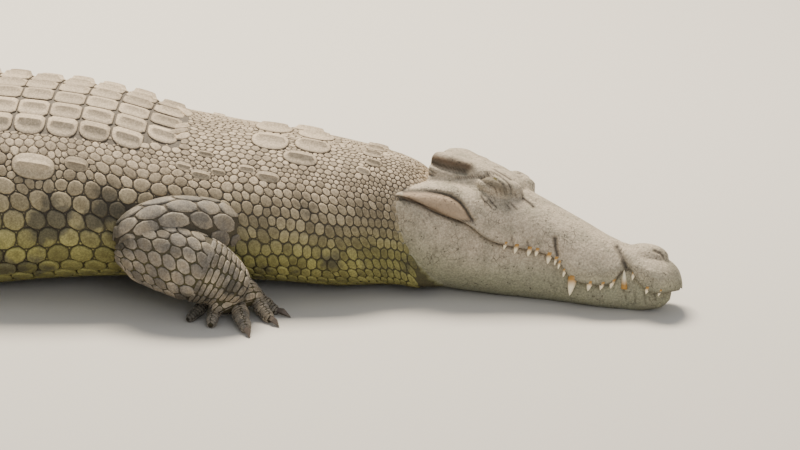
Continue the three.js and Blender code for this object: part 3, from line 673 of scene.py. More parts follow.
def skull_point(along, around):
    """A point of the upper head: around goes from the top, over the lip, to the palate."""
    x = head_places(SKULL_ENDS, along)
    side = np.where(around > 0.5, -1, 1)
    share = 1 - np.abs(around * 2 - 1)
    turn = np.clip(share / PALATE_FROM, 0, 1) * math.pi / 2
    reach, floor = skull_reach(x, turn)
    inward = np.clip((share - PALATE_FROM) / (1 - PALATE_FROM), 0, 1)
    y = reach * np.sin(turn) * (1 - inward)
    z = floor + reach * np.cos(turn) + PALATE_RISE * np.sin(inward * math.pi / 2)
    sink_from, sunk, rise_from, risen = TOP_DIP_FADES
    dip = ramp(x, sink_from, sunk) * ramp(x, risen, rise_from) * (share < 0.5)
    z = z + TOP_DIP * np.exp(-(y / TOP_DIP_WIDTH) ** 2) * dip
    return press(np.stack([x, side * y, z], -1), FOLDS, floor)


def jaw_point(along, around):
    """A point of the lower jaw: around goes from inside the mouth to under the chin."""
    x = head_places(JAW_ENDS, along)
    bottom = table(JAW_BOTTOM, x) + HEAD_DEPTH
    lip = table(MOUTH_LINE, x) + LIP_SPARE
    wide = table(JAW_HALF_WIDTH, x) - HEAD_DEPTH
    widest = bottom + JAW_WIDEST * (lip - bottom)
    c, s = np.cos(around * 2 * math.pi), np.sin(around * 2 * math.pi)
    power = np.where(c > 0, *JAW_POWERS)
    reach = np.where(c > 0, lip - widest, widest - bottom)
    y = wide * signed_power(s, 2 / power)
    z = widest + reach * signed_power(c, 2 / power)
    return press(np.stack([x, y, z], -1), JAW_FOLDS, widest)


# %% [markdown]
# ## One skin
# Every form is a unit tube: a cone with equal ends, cut into rings, whose points are then
# moved to their place on the map. The forms are joined by a union, which leaves a single
# closed skin, and the sharp valleys where a limb meets the trunk are smoothed a little.


# %% Forms made from a unit tube
def tube_form(name, place, rings, sides):
    """A closed tube whose points are place(along, around), both from 0 to 1."""
    bm = bmesh.new()
    bmesh.ops.create_cone(
        bm, cap_ends=True, segments=sides, radius1=1, radius2=1, depth=1)
    long_edges = [e for e in bm.edges if abs(e.verts[0].co.z - e.verts[1].co.z) > 0.5]
    bmesh.ops.subdivide_edges(bm, edges=long_edges, cuts=rings - 1)
    co = np.array([v.co[:] for v in bm.verts])
    around = np.arctan2(co[:, 1], co[:, 0]) / (2 * math.pi) % 1
    moved = metres(place(co[:, 2] + 0.5, around))
    for vert, point in zip(bm.verts, moved):
        vert.co = point
    ends = [f for f in bm.faces if len(f.verts) > 4]
    bmesh.ops.poke(bm, faces=ends)
    bmesh.ops.recalc_face_normals(bm, faces=bm.faces)
    mesh = bpy.data.meshes.new(name)
    bm.to_mesh(mesh)
    bm.free()
    return add_object(name, mesh)


HIDE_DEPTH, ARMOUR_DEPTH = 5, 6  # depth of the skin, and what the armour adds to it
DEPTH_LIMIT = 0.4  # never more than this share of the half width


def hide_depth(distance, around):
    """How far the body's skin lies inside the solids: deep under the armour of the back."""
    armour = ramp(distance, 540, 620) * ramp(distance, 1900, 1650)
    return HIDE_DEPTH + ARMOUR_DEPTH * armour * ramp(np.abs(around), 250, 170)


def body_skin(along, around):
    """Skin of the body, from the tube's shares along and around."""
    distance = BODY_START + along * (BODY_END - BODY_START)
    way = (1 - 2 * np.abs(around - 0.5)) * np.where(around > 0.5, -1, 1)
    way = way * half_round(distance)
    depth = np.minimum(hide_depth(distance, way), DEPTH_LIMIT * table(BODY_SIZES, distance))
    return body_point(distance, way, -depth)


def limb_form(limb, length):
    """The form of one length of a limb: upper, lower, sole or toe."""
    depth = LIMB_DEPTHS[length]
    return tube_form(length, lambda along, around: limb.point(
        along * limb.length, around * 2 * math.pi, np.full_like(along, -depth)), *FORM_MESH[length])


FORM_MESH = {  # rings and sides of each form
    "body": (300, 96), "skull": (190, 176), "jaw": (150, 96),
    "upper": (30, 40), "lower": (30, 40), "sole": (14, 36), "toe": (26, 18),
}
forms = [tube_form("skin", body_skin, *FORM_MESH["body"])]
forms.append(tube_form("skull", lambda a, b: head_to_plan(skull_point(a, b)), *FORM_MESH["skull"]))
forms.append(tube_form("jaw", lambda a, b: head_to_plan(jaw_point(a, b)), *FORM_MESH["jaw"]))
for leg in LEGS.values():
    forms += [limb_form(leg[length], length) for length in ("upper", "lower", "sole")]
    forms += [limb_form(toe, "toe") for toe in leg["toes"]]
print("forms:", len(forms), "faces:", sum(len(f.data.polygons) for f in forms))

# The skull and jaw are kept as a tree too: it tells later which points belong to the head.
head_points, head_faces = [], []
for form in forms[1:3]:
    base = len(head_points)
    head_points += [tuple(v.co) for v in form.data.vertices]
    head_faces += [tuple(base + k for k in f.vertices) for f in form.data.polygons]
head_tree = BVHTree.FromPolygons(head_points, head_faces)

# %% [markdown]
# The union is asked for once for each form, and all the unions are then worked out together.


# %% Join the forms
def apply_modifiers(piece):
    """Replaces a piece's mesh by the one its modifiers make."""
    graph = bpy.context.evaluated_depsgraph_get()
    made = bpy.data.meshes.new_from_object(piece.evaluated_get(graph))
    piece.modifiers.clear()
    piece.data = made


skin = forms[0]
for form in forms[1:]:
    joint = skin.modifiers.new("join", "BOOLEAN")
    joint.operation = "UNION"
    joint.solver = "MANIFOLD"
    joint.object = form
apply_modifiers(skin)
for form in forms[1:]:
    bpy.data.objects.remove(form)
print("skin faces:", len(skin.data.polygons))


# %% Settle the skin
WELD, SPECK = 0.0002, 0.00005  # metres: points closer are one, edges shorter go
VALLEY_ANGLE = 0.5  # radians between two faces
VALLEY_ROUNDS = 3
HEAD_FROM = -40  # forward of this the folds stay sharp


def finish_skin():
    """Lays the skin flat on the floor and smooths the valleys between trunk and limbs."""
    bm = bmesh.new()
    bm.from_mesh(skin.data)
    bmesh.ops.remove_doubles(bm, verts=bm.verts, dist=WELD)
    on_head = plan_to_head(millimetres(np.array([v.co[:] for v in bm.verts])))[:, 0] > HEAD_FROM
    bm.verts.ensure_lookup_table()
    sharp = {v.index for e in bm.edges if e.is_manifold and e.calc_face_angle() > VALLEY_ANGLE
             for v in e.verts if not on_head[v.index]}
    near = {w.index for i in sharp for e in bm.verts[i].link_edges for w in e.verts}
    valley = [bm.verts[i] for i in near | sharp]
    for _ in range(VALLEY_ROUNDS):
        bmesh.ops.smooth_vert(
            bm, verts=valley, factor=0.5, use_axis_x=True, use_axis_y=True, use_axis_z=True)
    for vert in bm.verts:
        vert.co.z = max(vert.co.z, 0.0)
    bmesh.ops.dissolve_degenerate(bm, edges=bm.edges, dist=SPECK)
    bmesh.ops.triangulate(bm, faces=[f for f in bm.faces if len(f.verts) > 4])
    bm.to_mesh(skin.data)
    bm.free()
    skin.data.shade_smooth()
    print("smoothed", len(valley), "points; skin has", len(skin.data.polygons), "faces")


finish_skin()
skin_points = np.empty(len(skin.data.vertices) * 3)
skin.data.vertices.foreach_get("co", skin_points)
skin_points = skin_points.reshape(-1, 3)
skin_tree = BVHTree.FromPolygons(
    [tuple(p) for p in skin_points], [tuple(f.vertices) for f in skin.data.polygons])

# %% [markdown]
# ## Markings
# The back is pale with dry mud, the flanks are olive with dark blotches, and the lowest scales
# are yellow green. Skin and scales read the same three numbers, which are stored on their
# points: how high on the flank a place is, how much it belongs to a limb and how much to the
# head. The skin has a few more for the face, and the scales have two of their own: how high on
# its scale a point is, and the tone of that scale.


# %% Numbers that the markings read
def store(piece, name, values):
    """Stores one number for each point of a mesh."""
    attribute = piece.data.attributes.new(name, "FLOAT", "POINT")
    attribute.data.foreach_set("value", np.asarray(values, np.float32))


def body_height_share(plan):
    """Height over the floor as a share of the body's height at the nearest place of the spine."""
    order = np.argsort(-SPINE[:, 0])
    nearest = np.interp(-plan[:, 0], -SPINE[order, 0], SPINE_AT[order])
    return plan[:, 2] / table(BODY_SIZES, nearest, 2)


def dress(piece, material):
    """Finishes a piece: its material and its body."""
    piece.data.materials.clear()
    piece.data.materials.append(material)
    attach(piece, "root")


skin_plan = millimetres(skin_points)
skin_head = plan_to_head(skin_plan)
print("skin points:", len(skin_plan))


# %% Hide materials
def hide_material(name, scaled):
    """Dry keratin hide. scaled is True for the scales and False for the skin below them."""
    material, tree, shader = new_material(name)
    place = add_node(tree, "ShaderNodeTexCoord").outputs["Object"]

    def stored(key):
        """A number stored on the mesh."""
        return add_node(tree, "ShaderNodeAttribute", {"attribute_name": key}).outputs["Fac"]

    def ramp_node(value, start, end, low_value=0.0, high_value=1.0):
        """The node form of ramp(), from the low value to the high one."""
        return add_node(tree, "ShaderNodeMapRange", {
            "interpolation_type": "SMOOTHSTEP", "From Min": start, "From Max": end,
            "To Min": low_value, "To Max": high_value}, {"Value": value}).outputs["Result"]

    def feed(node, sockets, values):
        """Gives each socket its hex colour, number or link."""
        for socket, value in zip(sockets, values):
            if isinstance(value, (str, float)):
                plain = linear(value) if isinstance(value, str) else value
                node.inputs[socket].default_value = plain
            else:
                tree.links.new(value, node.inputs[socket])

    def combine(kind, first, second):
        """Two numbers made into one: MULTIPLY, ADD, SUBTRACT or MAXIMUM."""
        node = add_node(tree, "ShaderNodeMath", {"operation": kind})
        feed(node, (0, 1), (first, second))
        return node.outputs[0]

    def blend(factor, first, second, kind="MIX"):
        """From the first colour to the second as the factor goes from 0 to 1."""
        mix = add_node(tree, "ShaderNodeMix", {"data_type": "RGBA", "blend_type": kind})
        feed(mix, (0, 6, 7), (factor, first, second))
        return mix.outputs[2]

    def noise(scale, detail, distortion=0.0, rough=0.55):
        """Cloudy noise from 0 to 1, the scale in clouds to a metre."""
        return add_node(tree, "ShaderNodeTexNoise", {
            "Scale": scale, "Detail": detail, "Distortion": distortion, "Roughness": rough},
            {"Vector": place}).outputs["Fac"]

    def cells(scale, feature="DISTANCE_TO_EDGE"):
        """Distances in a pattern of cells, the scale in cells to a metre."""
        return add_node(tree, "ShaderNodeTexVoronoi", {"feature": feature, "Scale": scale},
                        {"Vector": place}).outputs["Distance"]

    height, limb, head = stored("height"), stored("limb"), stored("head")
    wide_noise, middle_noise, fine_noise = noise(9, 4), noise(30, 5), noise(260, 6, 0.2, 0.7)
    # The trunk: pale back, olive flank, darker along the floor.
    olive = blend(wide_noise, "#8f8c52", "#b5b06c")
    flank = blend(ramp_node(height, 0.66, 0.32), "#b3a688", olive)
    body = blend(ramp_node(height, 0.60, 0.88), flank, "#dccab0")
    body = blend(ramp_node(height, 0.16, 0.04), body, "#8a8248")
    # The limbs are grey with paler patches, the head warm grey with darker ones.
    leg = blend(ramp_node(middle_noise, 0.35, 0.68), "#8b857c", "#c2b6a2")
    face = blend(ramp_node(height, 0.30, 0.80), "#9c9a80", "#c6b69e")
    face = blend(ramp_node(middle_noise, 0.40, 0.66, 0.0, 0.5), face, "#8f8a76")
    colour = blend(limb, body, leg)
    colour = blend(head, colour, face)
    # Dark blotches on the flanks, and grime everywhere.
    blotch = combine(
        "MULTIPLY", ramp_node(wide_noise, 0.55, 0.63), ramp_node(height, 0.82, 0.6, 0.0, 0.75))
    blotch = combine("MULTIPLY", blotch, ramp_node(head, 1.0, 0.0))
    colour = blend(blotch, colour, "#57544a")
    grimy = blend(0.45, colour, "#4c4335", "MULTIPLY")
    colour = blend(ramp_node(fine_noise, 0.36, 0.66), grimy, colour)
    surface = fine_noise
    if scaled:
        # Each scale has its own tone, a worn middle, and painted shade in the groove round its root.
        colour = blend(0.6, colour, blend(stored("tone"), "#857c66", "#fffaf0"), "MULTIPLY")
        rise = stored("rise")
        middle = combine(
            "MULTIPLY", ramp_node(rise, 0.55, 0.95), ramp_node(middle_noise, 0.42, 0.6, 0.1, 0.6))
        colour = blend(middle, colour, blend(0.7, colour, "#8d816b", "MULTIPLY"))
        # Painted shade: near black at each scale's root, fading up its side.
        colour = blend(ramp_node(rise, 0.34, 0.04, 0.0, 0.96), colour, "#241d16")
    else:
        # The face: cheek, painted shadow above the ear, lid, cracks and pits, then the painted shade in
        # the folds.
        colour = blend(combine("MULTIPLY", stored("blush"), 0.75), colour, "#a0866a")
        # Painted shadow under the crest, over the ear's recess.
        colour = blend(stored("ear_shadow"), colour, "#4e3822")
        colour = blend(combine("MULTIPLY", stored("lid"), 0.85), colour, "#6a5f4c")
        mask = combine("MULTIPLY", head, ramp_node(noise(16, 3), 0.48, 0.6))
        crack = combine("MULTIPLY", ramp_node(cells(62), 0.0, 0.035, 1.0, 0.0), mask)
        pitted = combine("MULTIPLY", head, ramp_node(noise(60, 3), 0.5, 0.62))
        dots = combine("MULTIPLY", ramp_node(cells(150, "F1"), 0.34, 0.12), pitted)
        marks = combine("MAXIMUM", combine("MULTIPLY", crack, 0.7), combine("MULTIPLY", dots, 0.75))
        colour = blend(marks, colour, "#3b342a")
        colour = blend(stored("shade"), colour, "#2c241b")
        knobs = ramp_node(cells(170, "SMOOTH_F1"), 0.1, 0.6, 0.6, 0.0)
        grit = combine("MULTIPLY", fine_noise, 0.8)
        surface = combine("ADD", combine("SUBTRACT", knobs, marks), grit)
    tree.links.new(colour, shader.inputs["Base Color"])
    shader.inputs["Roughness"].default_value = 0.72
    shader.inputs["Specular IOR Level"].default_value = 0.35
    bump = add_node(
        tree, "ShaderNodeBump", {"Strength": 0.6, "Distance": 0.0014}, {"Height": surface})
    tree.links.new(bump.outputs["Normal"], shader.inputs["Normal"])
    return material


scale_keratin = hide_material("dry_scale_keratin", True)
hide_keratin = hide_material("dry_skin_keratin", False)
print("nodes:", len(scale_keratin.node_tree.nodes), "and", len(hide_keratin.node_tree.nodes))

# %% [markdown]
# The folds that shaped the face also shade it: the deeper a fold, the darker its line. Two
# pairs of folds have a patch between them, which is the cheek's bare skin and the eye's lid.


# %% Dress the skin
FOLD_SHADE, LIP_SHADE, BARE_SHADE = 0.92, 0.55, 0.85  # BARE is the skin between the scales
LIP_WIDTH, LIP_FROM = 5, -80
EAR_SHIFT, EAR_WIDTH, EAR_SHADOW = [-6, -9], 10, 0.9  # painted shadow, dark warm brown, under the crest above the ear's recess


def inside_band(places, over, under):
    """1 between two lines of the side view, 0 outside, with a soft edge."""
    over, under = np.array(over, float), np.array(under, float)
    high = np.interp(places[:, 0], over[:, 0], over[:, 1], left=-1e3, right=-1e3)
    low = np.interp(places[:, 0], under[:, 0], under[:, 1], left=1e3, right=1e3)
    return ramp(high - places[:, 1], -1, 3) * ramp(places[:, 1] - low, -1, 3)


places, off_middle = side_view(skin_head), np.abs(skin_head[:, 1])
gaps = np.array([head_tree.find_nearest(Vector(p))[3] for p in skin_points])
head_share = ramp(gaps, 0.004, 0.0015)  # metres from the forms of the head
creases = np.zeros(len(skin_plan))
for depth, width, line in [*FOLDS.values(), *JAW_FOLDS.values()]:
    if depth < 0:
        dark = min(1.0, -depth / 3) * FOLD_SHADE
        near = np.exp(-(line_gap(places, line) / width * 1.25) ** 2)
        creases = np.maximum(creases, dark * near)
creases *= ramp(off_middle, 4, SIDE_FOLDS_FROM)
cheek = inside_band(places, FOLDS["lip over the cheek"][2], JAW_FOLDS["under the cheek"][2])
lid = inside_band(places, FOLDS["slit of the eye"][2], FOLDS["under the lid"][2])
# Painted shadow under the crest over the ear: a band just above the recess.
ear = np.exp(-(line_gap(places + EAR_SHIFT, FOLDS["ear recess"][2]) / EAR_WIDTH) ** 2)
mouth_gap = skin_head[:, 2] - table(MOUTH_LINE, skin_head[:, 0])
lips = LIP_SHADE * np.exp(-(mouth_gap / LIP_WIDTH) ** 2) * (skin_head[:, 0] > LIP_FROM)
shade = np.maximum(creases, lips) * head_share
store(skin, "height", body_height_share(skin_plan))
store(skin, "limb", np.zeros(len(skin_plan)))
store(skin, "head", head_share)
store(skin, "blush", head_share * cheek * ramp(off_middle, 60, 80))
store(skin, "ear_shadow", head_share * ear * ramp(off_middle, 30, 50) * EAR_SHADOW)
store(skin, "lid", head_share * lid * ramp(off_middle, 30, 40))
store(skin, "shade", np.maximum(shade, (1 - head_share) * BARE_SHADE))
dress(skin, hide_keratin)
flesh = [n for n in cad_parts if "claw" not in n and "eye" not in n]
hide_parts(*flesh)
print("the skin replaces", len(flesh), "nodes;", int((head_share > 0.5).sum()), "of its points are head")

# %% [markdown]
# ## Scales
# Scales are laid out on a map, in flat millimetres, and then carried to the body. Loose
# pebbles are the cells round scattered points: the triangles between neighbouring points are
# found first, and the middles of the triangles round a point are the corners of its cell.
# Scutes, belly plates, whorls and bands are rectangles in rows. Each outline is rounded, then
# stacked a few times, smaller and higher, up to a crown. There are many thousands, so they
# are worked out together as arrays and each kind is made as one joined mesh.

# %% Outlines on the map
RING = 10  # points round a common scale
SQUARE_RING, SQUARE_POWER = 12, 6  # the same for a square one, and its squareness
LEAST_SHARE = 0.4  # a groove never takes more of a scale than this leaves
ROUND_GROWTH = 0.05  # makes up for what the rounding takes


def round_outline(corners, rounding, groove):
    """A ring of points inside a cell: corners rounded, and a groove left round it."""
    closed = np.vstack([corners, corners[:1]])
    way = measure(closed)
    at = np.linspace(0, way[-1], RING, endpoint=False)
    ring = np.stack([np.interp(at, way, closed[:, k]) for k in range(2)], 1)
    rounder = 0.5 * ring + 0.25 * (np.roll(ring, 1, 0) + np.roll(ring, -1, 0))
    ring = ring + rounding * (rounder - ring)
    centre = ring.mean(0)
    size = np.linalg.norm(ring - centre, axis=1).mean()
    share = max(1 - groove / size, LEAST_SHARE) * (1 + ROUND_GROWTH * rounding)
    return centre + (ring - centre) * share


def pebbles(points, fence, rounding=0.5, groove=0.9):
    """Rings round scattered points, and the places where three cells meet."""
    together = [Vector(p) for p in np.vstack([points, fence])]
    coords, _, faces, origins, _, _ = delaunay_2d_cdt(together, [], [], 0, 1e-3)
    coords = np.array([c[:] for c in coords])
    corners = coords[np.array(faces)].mean(1)
    touching = [[] for _ in coords]
    for face, verts in enumerate(faces):
        for vert in verts:
            touching[vert].append(face)
    rings = []
    for vert, mine in enumerate(touching):
        if len(mine) < 4 or not origins[vert] or origins[vert][0] >= len(points):
            continue
        around = corners[mine] - coords[vert]
        order = np.argsort(np.arctan2(around[:, 1], around[:, 0]))
        rings.append(round_outline(corners[np.array(mine)[order]], rounding, groove))
    return np.array(rings), corners


def tile(start, end, near, far, groove):
    """A square scale between two places along the map and two round it."""
    centre = ((start + end) / 2, (near + far) / 2)
    half_length, half_width = abs(end - start) / 2 - groove, abs(far - near) / 2 - groove
    return oval_ring(centre, half_length, half_width, SQUARE_RING, SQUARE_POWER)


def oval_ring(centre, half_length, half_width, count, power=2.0):
    """A ring of points round an oval, squarer for a higher power."""
    angle = np.arange(count) * 2 * math.pi / count
    c, s = np.cos(angle), np.sin(angle)
    reach = (np.abs(c) ** power + np.abs(s) ** power) ** (-1 / power)
    return np.array(centre) + np.stack([reach * c * half_length, reach * s * half_width], 1)


# %% [markdown]
# A profile lists the levels of a scale from its root up: shares of its length and width, share
# of its height, and how far the level leans back. A flat scale swells fast and levels off, a
# keeled one narrows to a ridge, and a flap leans over.

# %% Stack outlines into scales
FLAT = [(1.0, 1.0, -0.35, 0.0), (0.985, 0.985, 0.40, 0.0), (0.91, 0.91, 0.92, 0.0),
        (0.74, 0.74, 1.0, 0.0)]
KEELED = [(1.0, 1.0, -0.2, 0.0), (0.985, 0.985, 0.16, 0.0), (0.94, 0.93, 0.28, 0.0),
          (0.84, 0.62, 0.33, 0.0), (0.76, 0.24, 0.52, -0.02), (0.66, 0.09, 0.92, -0.04),
          (0.45, 0.03, 1.0, -0.06)]
GRAIN = [(1.0, 1.0, -0.3, 0.0), (0.72, 0.72, 0.75, 0.0)]
FLAP = [(1.0, 1.0, -0.15, 0.0), (0.94, 0.62, 0.30, 0.10), (0.70, 0.36, 0.66, 0.34),
        (0.30, 0.14, 0.94, 0.62)]
CROWN_RISE = 1.03  # height of the crown point over the last level, as a share
BURIED = -0.0012  # metres: a crown deeper in another part than this is left out
PATCH = 0.003  # size of a scale's patch on the bake map
PATCH_CROWN = 0.2  # how much the patch shrinks towards the crown
MAP_MARGIN = 0.02  # free border of the bake map


def stack(rings, tall, profile, place):
    """Points of each scale: rings of its outline, smaller and higher, and a crown point."""
    centres = rings.mean(1, keepdims=True)
    half_length = np.abs(rings[:, :, 0] - centres[:, :, 0]).max(1)[:, None]
    levels = []
    crown_level = (0, 0, profile[-1][2] * CROWN_RISE, profile[-1][3])
    for along, across, lift, behind in [*profile, crown_level]:
        level = centres + (rings - centres) * [along, across]
        level[:, :, 0] += behind * half_length
        levels.append(place(level[..., 0], level[..., 1], lift * tall[:, None]))
    crown = levels[-1].mean(1, keepdims=True)
    return np.stack(levels[:-1], 1), crown


def outside_skin(points):
    """Which points aren't buried in another part of the animal."""
    clear = []
    for p in points:
        place, normal, _, _ = skin_tree.find_nearest(Vector(p))
        clear.append((Vector(p) - place).dot(normal) > BURIED)
    return np.array(clear)


def scale_faces(start, many, depth, count):
    """Faces of many stacks of rings, each closed by a fan of triangles at its crown."""
    k = np.arange(count)
    after = (k + 1) % count
    quads = np.concatenate([
        np.stack([r * count + k, r * count + after, (r + 1) * count + after, (r + 1) * count + k], 1)
        for r in range(depth - 1)])
    last = (depth - 1) * count
    fan = np.stack([last + k, last + after, np.full(count, depth * count)], 1)
    bases = start + np.arange(many)[:, None, None] * (depth * count + 1)
    return (quads + bases).reshape(-1, 4).tolist() + (fan + bases).reshape(-1, 3).tolist()


def bake_places(patches):
    """Places on the bake map: each scale a small patch where its root lies on the flat map."""
    roots = np.concatenate([root[:, 0] for root, _ in patches])
    low_root, high_root = roots.min(0), roots.max(0)
    scale = (1 - 2 * MAP_MARGIN) / max(high_root - low_root)
    return np.concatenate([
        (MAP_MARGIN + (root - low_root) * scale + patch).reshape(-1, 2) for root, patch in patches])


def coat_piece(name, batches, limb=0):
    """One mesh of many scales. Each batch: rings, heights, profile and place."""
    verts, faces, patches = [], [], []
    numbers = {"rise": [], "tone": []}
    start = 0
    for rings, tall, profile, place in batches:
        levels, crown = (metres(points) for points in stack(rings, tall, profile, place))
        clear = outside_skin(crown[:, 0])
        rings, levels, crown = rings[clear], levels[clear], crown[clear]
        many, depth, count = levels.shape[:3]
        verts.append(np.concatenate([levels.reshape(many, -1, 3), crown], 1).reshape(-1, 3))
        faces += scale_faces(start, many, depth, count)
        each = depth * count + 1
        start += many * each
        rise = np.append(np.repeat(np.arange(depth) / depth, count), 1.0)
        numbers["rise"].append(np.tile(rise, many))
        numbers["tone"].append(np.repeat(rng.random(many), each))
        root = rings.mean(1, keepdims=True)
        own = (rings - root) / (np.abs(rings - root).max(axis=(1, 2), keepdims=True) * 2)
        shrink = np.linspace(1, PATCH_CROWN, depth)[None, :, None, None]
        patch = (own[:, None] * shrink).reshape(many, -1, 2)
        patches.append((root, np.concatenate([patch, np.zeros((many, 1, 2))], 1) * PATCH))
    verts = np.concatenate(verts)
    mesh = bpy.data.meshes.new(name)
    mesh.from_pydata(verts.tolist(), [], faces)
    piece = add_object(name, mesh)
    for key, values in numbers.items():
        store(piece, key, np.concatenate(values))
    store(piece, "height", body_height_share(millimetres(verts)))
    store(piece, "limb", np.full(len(verts), limb))
    store(piece, "head", np.zeros(len(verts)))
    corner_points = np.empty(len(mesh.loops), np.int32)
    mesh.loops.foreach_get("vertex_index", corner_points)
    bake_map = mesh.uv_layers.new(name="OFBake")
    bake_map.data.foreach_set("uv", bake_places(patches)[corner_points].astype(np.float32).ravel())
    mesh.shade_smooth()
    dress(piece, scale_keratin)
    triangles = sum(len(f.vertices) - 2 for f in mesh.polygons)
    print(f"{name}: {sum(len(root) for root, _ in patches)} scales, {triangles} triangles")


BIN = 12.0  # side of the bins in which near points are looked up
GRAIN_SHARE, LEAST_GRAIN, MOST_GRAIN, GRAIN_RING = 0.75, 1.5, 5, 6


def grains(gaps, rings):
    """Tiny scales in the gaps where three round ones meet."""
    edge = rings.reshape(-1, 2)
    bins = {}
    for i, (a, b) in enumerate(edge):
        bins.setdefault((int(a // BIN), int(b // BIN)), []).append(i)
    kept = []
    for gap in gaps:
        row, column = int(gap[0] // BIN), int(gap[1] // BIN)
        near = [i for da in (-1, 0, 1) for db in (-1, 0, 1)
                for i in bins.get((row + da, column + db), [])]
        if not near:
            continue
        room = np.linalg.norm(edge[near] - gap, axis=1).min() * GRAIN_SHARE
        if room > LEAST_GRAIN:
            kept.append(oval_ring(gap, min(room, MOST_GRAIN), min(room, MOST_GRAIN), GRAIN_RING))
    return np.array(kept).reshape(-1, GRAIN_RING, 2)


def heights_of(rings, steep=0.2, most=5.0, least=1.0):
    """A height for each scale, by its size."""
    size = np.linalg.norm(rings - rings.mean(1, keepdims=True), axis=2).mean(1)
    return np.clip(size * steep + 0.7, least, most)


# %% [markdown]
# ## Armour of the back
# About seventeen rows of bony scutes run from the shoulders to the tail, six to a row. Each
# has a keel, higher towards the sides, and the outermost ones end in a half round edge. The
# neck carries a shield of large plates, and behind the skull stands a row of small ones.

# %% Rows of scutes
ROW_PITCH = 64.0
ARMOUR_START, ARMOUR_END = 586.0, 1640.0
SCUTE_RING = 20
COLUMN_PITCH = 61.0  # at the widest of the trunk
SCUTE_LENGTH, EDGE_LENGTH = 30.9, 30.6  # half lengths of a scute and of its rounded outer edge
SCUTE_GROOVE, EDGE_GROWTH = 0.3, 1.08
SCUTE_POWERS = 8, 2.4  # squareness of a scute and of the outer edge
SCUTE_KEELS = [11, 12.5, 15]  # heights from the middle outwards
FIRST_ROW_SPREAD = 1.15
PLATE_POWER = 2.5
NUCHAL_PLATES = [  # distance, around, half length, half width, keel height
    [324, 33, 37, 31, 13], [409, 42, 38, 38, 13], [343, 91, 36, 23, 12],
]
NECK_BUTTONS = [  # the same, for the keeled scales of the nape and shoulder
    [204, 17, 21, 14, 9], [198, 50, 19, 13, 8], [214, 84, 16, 11, 7],
    [402, 161, 24, 14, 8], [446, 150, 17, 11, 6], [529, 130, 17, 10, 6], [532, 188, 20, 12, 6],
    [500, 172, 15, 10, 5], [566, 176, 17, 12, 5],
]
SIDE_SCUTES = [  # big keeled scales of the flank
    [852, 268, 43, 29, 15], [978, 274, 36, 26, 13], [1110, 266, 38, 27, 14], [1236, 262, 36, 26, 13],
    [1362, 240, 34, 24, 12], [770, 246, 24, 17, 6],
]


def column_pitch(distance):
    """Width of a column of scutes at a distance along the spine."""
    return COLUMN_PITCH * np.clip(table(BODY_SIZES, distance, 1) / 300, 0.5, 1.05)


def on_body(distance, around, lift):
    """Map places of scales: the lift is over the skin."""
    centre_d = distance.mean(axis=-1, keepdims=True)
    centre_a = around.mean(axis=-1, keepdims=True)
    return body_point(distance, around, lift - hide_depth(centre_d, centre_a))


def armour():
    """Outlines and heights of the scutes, row by row."""
    rings, tall = [], []
    for row in range(int((ARMOUR_END - ARMOUR_START) / ROW_PITCH) + 1):
        middle = ARMOUR_START + (row + 0.5) * ROW_PITCH
        pitch = float(column_pitch(middle))
        columns = 2 if row == 0 else 3
        for side, column in ((s, c) for s in (-1, 1) for c in range(columns)):
            half = pitch / 2 - SCUTE_GROOVE
            around = side * (column + 0.5) * pitch + rng.normal(0, 1.2)
            if row == 0:
                around *= FIRST_ROW_SPREAD
            place = (middle + rng.normal(0, 1), around)
            half_length = SCUTE_LENGTH + rng.normal(0, 0.3)
            ring = oval_ring(place, half_length, half, SCUTE_RING, SCUTE_POWERS[0])
            if column == columns - 1:
                outer = (ring[:, 1] - around) * side > 0
                rounder = oval_ring(
                    place, EDGE_LENGTH, half * EDGE_GROWTH, SCUTE_RING, SCUTE_POWERS[1])
                ring[outer] = rounder[outer]
            rings.append(ring)
            tall.append(SCUTE_KEELS[column] * rng.uniform(0.85, 1.1))
    return np.array(rings), np.array(tall)


def keeled(rows):
    """Both sides' rings and heights of the plates in a table."""
    rings, tall = [], []
    for distance, around, half_length, half_width, height in rows:
        for side in (-1, 1):
            place = (distance, side * around)
            rings.append(oval_ring(place, half_length, half_width, SCUTE_RING, PLATE_POWER))
            tall.append(height * rng.uniform(0.9, 1.05))
    return np.array(rings), np.array(tall)


armour_rings, armour_tall = armour()
shield_rings, shield_tall = keeled(NUCHAL_PLATES + NECK_BUTTONS + SIDE_SCUTES)
coat_piece("back_scutes", [
    (armour_rings, armour_tall, KEELED, on_body),
    (shield_rings, shield_tall, KEELED, on_body),
])

# %% [markdown]
# ## Pebbles of the neck and flanks
# Below the armour the scales stand in long rows that run with the body. They are small
# beside the scutes, largest low on the flank, and they shrink where the neck narrows. Where a
# big plate stands in the row, its neighbours close up round it.

# %% Rows of pebbles
ROW_WIDTHS = [13, 14, 17, 22, 25, 28, 30, 33, 35, 37, 38, 38, 38, 38, 38]  # at the widest trunk
NECK_ROW_WIDTHS = [15, 14, 15, 14, 16, 15, 17, 16, 17, 18]  # over the neck, inside the armour's edge
ARMOUR_SHARE = 0.222  # the armour's edge, as a share of the half round
BELLY_SHARE = 0.80  # where the belly plates begin
TAIL_START = 1650.0
NECK_SCALES_FROM = 84.0
NO_NAPE_ROW = 66  # this far into the armour its first row is narrower
PLATE_ROOM, COLLAR_PITCH = 13, 13  # free border and scale pitch round a big plate


def row_shares(widths, start, end):
    """Middles of rows that fill the shares from start to end, and each row's share of width."""
    edges = np.concatenate([[0], np.cumsum(widths)]) / sum(widths)
    edges = start + edges * (end - start)
    return (edges[1:] + edges[:-1]) / 2, np.diff(edges)


